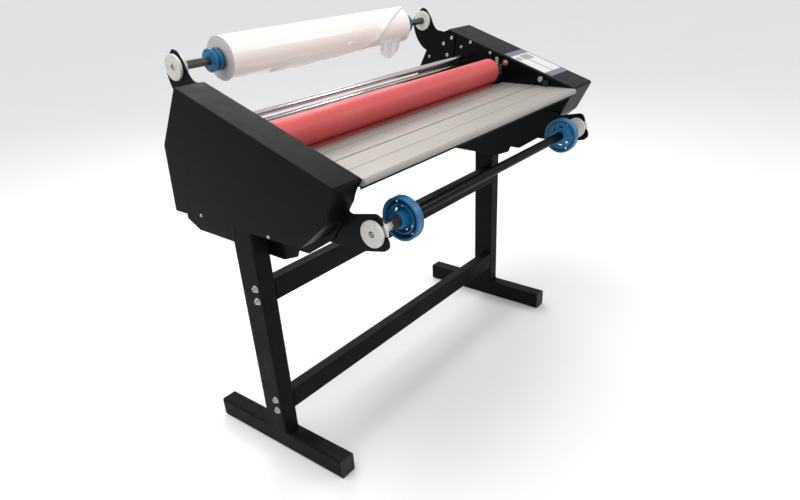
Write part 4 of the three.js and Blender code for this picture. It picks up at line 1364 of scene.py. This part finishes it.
def add_film_tail():
    """The film's free end: a creased flap that hangs off the underside of the roll."""
    low, high = box_mm("film_roll")
    r = (high.z - low.z) / 2
    start = r * math.radians(192)
    leave = r * math.radians(212)
    x_left, width, held = 186, 112, 0.3
    hang = ((0, 40), (0.12, 50), (0.3, 58), (0.45, 60), (0.6, 52), (0.68, 47), (0.8, 42), (0.92, 30), (1, 14))
    across, along = 44, 34
    bm = bmesh.new()
    grid = []
    for i in range(across + 1):
        u = i / across
        for (u0, h0), (u1, h1) in zip(hang, hang[1:]):
            if u0 <= u <= u1:
                drop = h0 + (h1 - h0) * (u - u0) / (u1 - u0)
        row = []
        for j in range(along + 1):
            v = j / along
            x = x_left + width * u
            if v <= held:
                point = around_film(x, start + (leave - start) * v / held, 0.9 * v / held - 0.3)
            else:
                t = (v - held) / (1 - held)
                point = around_film(x, leave, 0.6)
                fold = math.sin(13 * u + 0.8 + 1.6 * t)
                fold = fold + 0.55 * math.sin(29 * u - 2 * t) + 0.3 * math.sin(47 * u)
                point += Vector((
                    10 * t * (0.5 - u) + 2.5 * t * math.sin(9 * u),
                    9 * math.sin(t * 1.3) + 2.6 * t * fold,
                    -drop * t + 1.2 * t * math.sin(21 * u),
                ))
            row.append(bm.verts.new(point))
        grid.append(row)
    for a, b in zip(grid, grid[1:]):
        for j in range(along):
            bm.faces.new((a[j], b[j], b[j + 1], a[j + 1])).material_index = 1 if j > held * along + 3 else 0
    area = sum(f.calc_area() for f in bm.faces) * MM * MM
    tail = piece("film_tail", bm, "supply_reel", [FILM, LOOSE_FILM], smooth=70, weighted=False)
    modifier = tail.modifiers.new("thickness", "SOLIDIFY")
    modifier.thickness, modifier.offset = 0.2 * MM, 1
    return tail, area


add_film()
add_film_edge()
film_tail, tail_area = add_film_tail()


# ---------------------------------------------------------------- sensors, screws and controls
def add_sensor(label, side):
    node = f"{label}_photo_sensor"
    middle = centre_mm(node)
    tip = facing(node, -side)
    axis = (middle.y, middle.z)

    def x_at(d):
        return tip + side * d

    nut = bmesh.new()
    loft(nut, [ring_at(Vector((x_at(d), *axis)), (side, 0, 0), r, 24, flats, 0.3)
               for d, r, flats in ((9.6, 8.4, 0), (10, 9, 6), (13.6, 9, 6))])
    lathe(nut, [(x_at(1.4), 5.9), (x_at(9.6), 5.9)], axis, 40)
    piece(f"{label}_sensor_barrel", nut, "frame", STEEL, [node] if label == "left" else ())
    lens = [(x_at(1.4), 5.2), (x_at(0.5), 5.0), (x_at(0.1), 4.0), (x_at(0.0), 2.0), (x_at(0.0), 0)]
    bm = lathe(bmesh.new(), lens, axis, 40)
    piece(f"{label}_sensor_lens", bm, "frame", RED_PLASTIC, [node] if label == "right" else ())


for label, side in SIDES:
    add_sensor(label, side)


COVER_SCREWS = ((147, 709), (-100, 707))


def add_cover_screws(label, side):
    face = facing(f"{label}_cover", side)
    bm = bmesh.new()
    for y, z in COVER_SCREWS:
        socket_screw(bm, (face, y, z), (side, 0, 0), 4.4, 2.6, dome=0.8)
    piece(f"{label}_cover_screws", bm, "frame", STEEL)


for label, side in SIDES:
    add_cover_screws(label, side)


def add_latch():
    """Silver knob and dark block on the inner face of the right frame plate."""
    wall = box_mm("right_frame_plate")[0].x
    y, z = -214, 880
    profile = [(0, 4), (4, 4), (4, 7.4), (5, 8), (14, 8), (15, 7.2), (15.4, 0)]
    bm = lathe(bmesh.new(), [(wall - d, r) for d, r in profile], (y, z), 36)
    piece("latch_knob", bm, "frame", STEEL)
    bm = bevel(block(bmesh.new(), (wall - 12, y - 26, z - 16), (wall - 0.2, y - 10, z - 4)), 1.2, 2)
    piece("latch_block", bm, "frame", PLASTIC)


add_latch()


def on_top(along, up):
    """Y and Z of a point on the covers' sloping top: `along` mm up from the nose, `up` mm off the face."""
    return (
        NOSE.x + along * math.cos(SLOPE) - up * math.sin(SLOPE),
        NOSE.y + along * math.sin(SLOPE) + up * math.cos(SLOPE),
    )


def add_label():
    """Blank data plate on the right cover: pale panel between two blue bands, with plain blocks."""
    cover = box_mm("right_cover")
    x0, x1 = cover[0].x + 12, cover[1].x - 8
    start, end = 92, 276
    inks = {
        "white": label_ink("label_white", (0.62, 0.60, 0.62)),
        "blue": label_ink("label_blue", (0.035, 0.04, 0.11)),
        "grey": label_ink("label_grey", (0.22, 0.21, 0.22)),
        "dark": label_ink("label_dark", (0.02, 0.02, 0.03)),
    }

    def patch(name, ink, a0, a1, b0, b1, up):
        outline = [on_top(a0, up - 0.3), on_top(a1, up - 0.3), on_top(a1, up), on_top(a0, up)]
        bm = prism(bmesh.new(), outline, b0, b1)
        piece(name, bm, "frame", inks[ink])

    band = 26
    patch("label_front_band", "blue", start, start + band, x0, x1, 0.35)
    patch("label_rear_band", "blue", end - band, end, x0, x1, 0.35)
    patch("label_panel", "white", start + band, end - band, x0, x1, 0.35)
    width = x1 - x0
    patch("label_block", "grey", end - band - 38, end - band - 6, x0 + 0.35 * width, x0 + 0.85 * width, 0.5)
    patch("label_rule", "dark", start + band, end - band - 40, x0 + 0.46 * width, x0 + 0.5 * width, 0.5)
    patch("label_square", "grey", end - band - 34, end - band - 12, x0 + 0.06 * width, x0 + 0.24 * width, 0.5)


add_label()


def add_controls():
    """Stop button, speed knob and rocker on the outer face of the right cover, with their bezels."""
    face = box_mm("right_cover")[1].x
    stop, knob = centre_mm("emergency_stop"), centre_mm("speed_knob")
    axis = (stop.y, stop.z)
    outer = box_mm("emergency_stop")[1].x
    profile = [
        (face - 11, 0), (face - 11, 9.8), (face + 8, 9.8), (face + 8, 15.4), (face + 9, 17),
        (face + 12, 18.6), (face + 14, 19), (face + 17, 18.4), (face + 19.6, 15.4),
        (outer - 0.6, 10), (outer - 0.1, 5), (outer, 0),
    ]
    bm = lathe(bmesh.new(), profile, axis, 64)
    piece("stop_mushroom", bm, "emergency_stop", RED_PLASTIC, ["emergency_stop"], smooth=50)
    profile = [
        (face, 10.4), (face, 17.4), (face + 0.8, 18), (face + 2, 18), (face + 2.6, 17), (face + 2.6, 10.4),
    ]
    piece("stop_collar", lathe(bmesh.new(), profile, axis, 48, closed=True), "frame", STEEL)

    axis = (knob.y, knob.z)
    low, high = box_mm("speed_knob")
    bm = bmesh.new()
    rings = []
    knob_steps = (
        (low.x, 3.2, 0), (face + 1, 3.2, 0), (face + 1, 12, 0), (face + 2, 12.5, 0), (face + 3, 12.3, 0.5),
        (face + 13, 11.4, 0.5), (face + 15.2, 10.8, 0), (high.x, 9.6, 0), (high.x, 4, 0),
    )
    for x, r, flute in knob_steps:
        ring = circle(x, r, axis, 96)
        centre = Vector((x, *axis))
        dips = [flute * (0.5 + 0.5 * math.cos(i * math.tau / 4)) for i in range(len(ring))]
        rings.append([p + (centre - p).normalized() * dip if flute else p for p, dip in zip(ring, dips)])
    loft(bm, rings)
    piece("knob_cap", bm, "speed_knob", PLASTIC, ["speed_knob"])
    bar = ((high.x - 0.5, axis[0] - 0.7, axis[1] + 2.4), (high.x + 0.2, axis[0] + 0.7, axis[1] + 9))
    bm = bevel(block(bmesh.new(), *bar), 0.15, 1)
    piece("knob_pointer", bm, "speed_knob", NYLON["supply"])
    bm = bmesh.new()
    ticks = 11
    for i in range(ticks):
        a = math.radians(90 + 135 - 27 * i)
        ahead, side_way = Vector((0, math.cos(a), math.sin(a))), Vector((0, -math.sin(a), math.cos(a)))
        centre = Vector((face, *axis))
        long = 4.2 if i % 5 == 0 else 2.6
        corners = [ahead * 15 - side_way * 0.4, ahead * (15 + long) - side_way * 0.4,
                   ahead * (15 + long) + side_way * 0.4, ahead * 15 + side_way * 0.4]
        loft(bm, [[centre + c + X_AXIS * lift for c in corners] for lift in (-0.2, 0.25)])
    piece("knob_scale", bm, "frame", NYLON["supply"])

    low, high = box_mm("direction_switch")
    bm = bmesh.new()
    frame_low, frame_high = (face, low.y - 3.2, low.z - 3.2), (face + 1.8, high.y + 3.2, high.z + 3.2)
    rings = []
    for x, inset in ((frame_low[0], 0), (frame_high[0] - 0.6, 0), (frame_high[0], 0.6), (frame_high[0], 2.0),
                     (frame_low[0], 2.0)):
        y0, z0 = frame_low[1] + inset, frame_low[2] + inset
        y1, z1 = frame_high[1] - inset, frame_high[2] - inset
        corners = [(y0, z0), (y1, z0), (y1, z1), (y0, z1)]
        rings.append([Vector((x, y, z)) for y, z in soften(corners, 2, 4)])
    loft(bm, rings, closed=True)
    piece("switch_bezel", bm, "frame", PLASTIC)
    refined("direction_switch", "direction_switch", PLASTIC, 0.4, 2)
    refined("power_inlet", "frame", PLASTIC, 0.35, 1)
    low, high = box_mm("power_inlet")
    bm = bmesh.new()
    for y in (low.y + 4.2, high.y - 4.2):
        socket_screw(bm, (high.x, y, (low.z + high.z) / 2), (1, 0, 0), 2.8, 1.4, dome=0.6)
    piece("inlet_screws", bm, "frame", DARK)


add_controls()


# ---------------------------------------------------------------- lift shaft and nip lever
def add_lever():
    """Hub, arm and ball of the lever that lifts the upper roller."""
    low = box_mm("nip_lever")[0]
    lift = centre_mm("lift_shaft")
    axis = (lift.y, lift.z)
    x0 = low.x
    hub = [(x0 + 8, 7.2), (x0 + 8, 14.2), (x0 + 8.8, 15), (x0 + 23.2, 15), (x0 + 24, 14.2), (x0 + 24, 7.2)]
    bm = lathe(bmesh.new(), hub, axis, 64, closed=True)
    centre = Vector(((hub[0][0] + hub[-1][0]) / 2, *axis))
    down = -Z_AXIS
    arm = [(10, 6.4), (16, 6.2), (60, 5.4), (104, 6.2), (112, 6.6)]
    loft(bm, [ring_at(centre + down * d, down, r, 32) for d, r in arm])
    piece("nip_lever_arm", bm, "nip_lever", DARK, ["nip_lever"])
    steps = 20
    ball = []
    for i in range(steps + 1):
        a = math.pi * (0.09 + 0.91 * i / steps)
        ball.append((128 - 16 * math.cos(a), max(16 * math.sin(a), 0.05)))
    bm = loft(bmesh.new(), [ring_at(centre + down * d, down, r, 48) for d, r in ball])
    piece("nip_lever_ball", bm, "nip_lever", PLASTIC, smooth=60)
    bm = socket_screw(bmesh.new(), centre + Z_AXIS * 14.6, (0, 0, 1), 2.8, 1.2, dome=0.2)
    piece("nip_lever_screw", bm, "nip_lever", STEEL)


add_lever()
refined("lift_shaft", "nip_lever", STEEL, 0.3, 1)


# ---------------------------------------------------------------- floor and light
FLOOR_HALF = 30
FLOOR_DROP = 0.0005


def add_stage():
    s = Surface("floor_pale", (0.86, 0.86, 0.86), 0.6)
    s.patches(900, (0.3, 0.7), (0.84, 0.84, 0.84), 0.5)
    floor_mesh = bpy.data.meshes.new("floor")
    bm = bmesh.new()
    corners = ((-1, -1), (1, -1), (1, 1), (-1, 1))
    bm.faces.new([bm.verts.new((x * FLOOR_HALF, y * FLOOR_HALF, -FLOOR_DROP)) for x, y in corners])
    bm.to_mesh(floor_mesh)
    bm.free()
    floor_mesh.materials.append(s.done())
    floor = bpy.data.objects.new("floor", floor_mesh)
    bpy.context.scene.collection.objects.link(floor)


def add_light(name, place, aim, size, power, color=(1, 1, 1)):
    data = bpy.data.lights.new(name, "AREA")
    data.shape, data.size, data.size_y = "RECTANGLE", size[0], size[1]
    data.energy, data.color = power, color
    light = bpy.data.objects.new(name, data)
    light.location = place
    light.rotation_euler = (Vector(aim) - Vector(place)).to_track_quat("-Z", "Y").to_euler()
    bpy.context.scene.collection.objects.link(light)


def add_lights():
    world = bpy.data.worlds.new("studio")
    bpy.context.scene.world = world
    world.use_nodes = True
    background = world.node_tree.nodes["Background"]
    tree = world.node_tree
    place = tree.nodes.new("ShaderNodeTexCoord")
    split = tree.nodes.new("ShaderNodeSeparateXYZ")
    ramp = tree.nodes.new("ShaderNodeMapRange")
    link(tree, place.outputs["Generated"], split.inputs[0])
    link(tree, split.outputs["Z"], ramp.inputs["Value"])
    set_range(ramp, 0.0, 0.85, 0.80, 0.90)
    link(tree, ramp.outputs["Result"], background.inputs["Strength"])
    background.inputs["Color"].default_value = (1, 1, 1, 1)
    add_light("key", (-1.0, 0.4, 3.4), (0, 0, 0.8), (2.6, 1.8), 60)
    add_light("rim", (1.8, 2.2, 2.6), (0, 0.2, 0.9), (1.8, 1.2), 30)
    add_light("front", (-0.2, -3.2, 1.6), (0, 0, 0.7), (2.4, 1.2), 6)
    add_light("glint", (2.4, -2.1, 2.5), (-0.5, -0.35, 0.85), (0.16, 0.8), 14)


add_stage()
add_lights()
bpy.context.scene.view_settings.view_transform = "Standard"
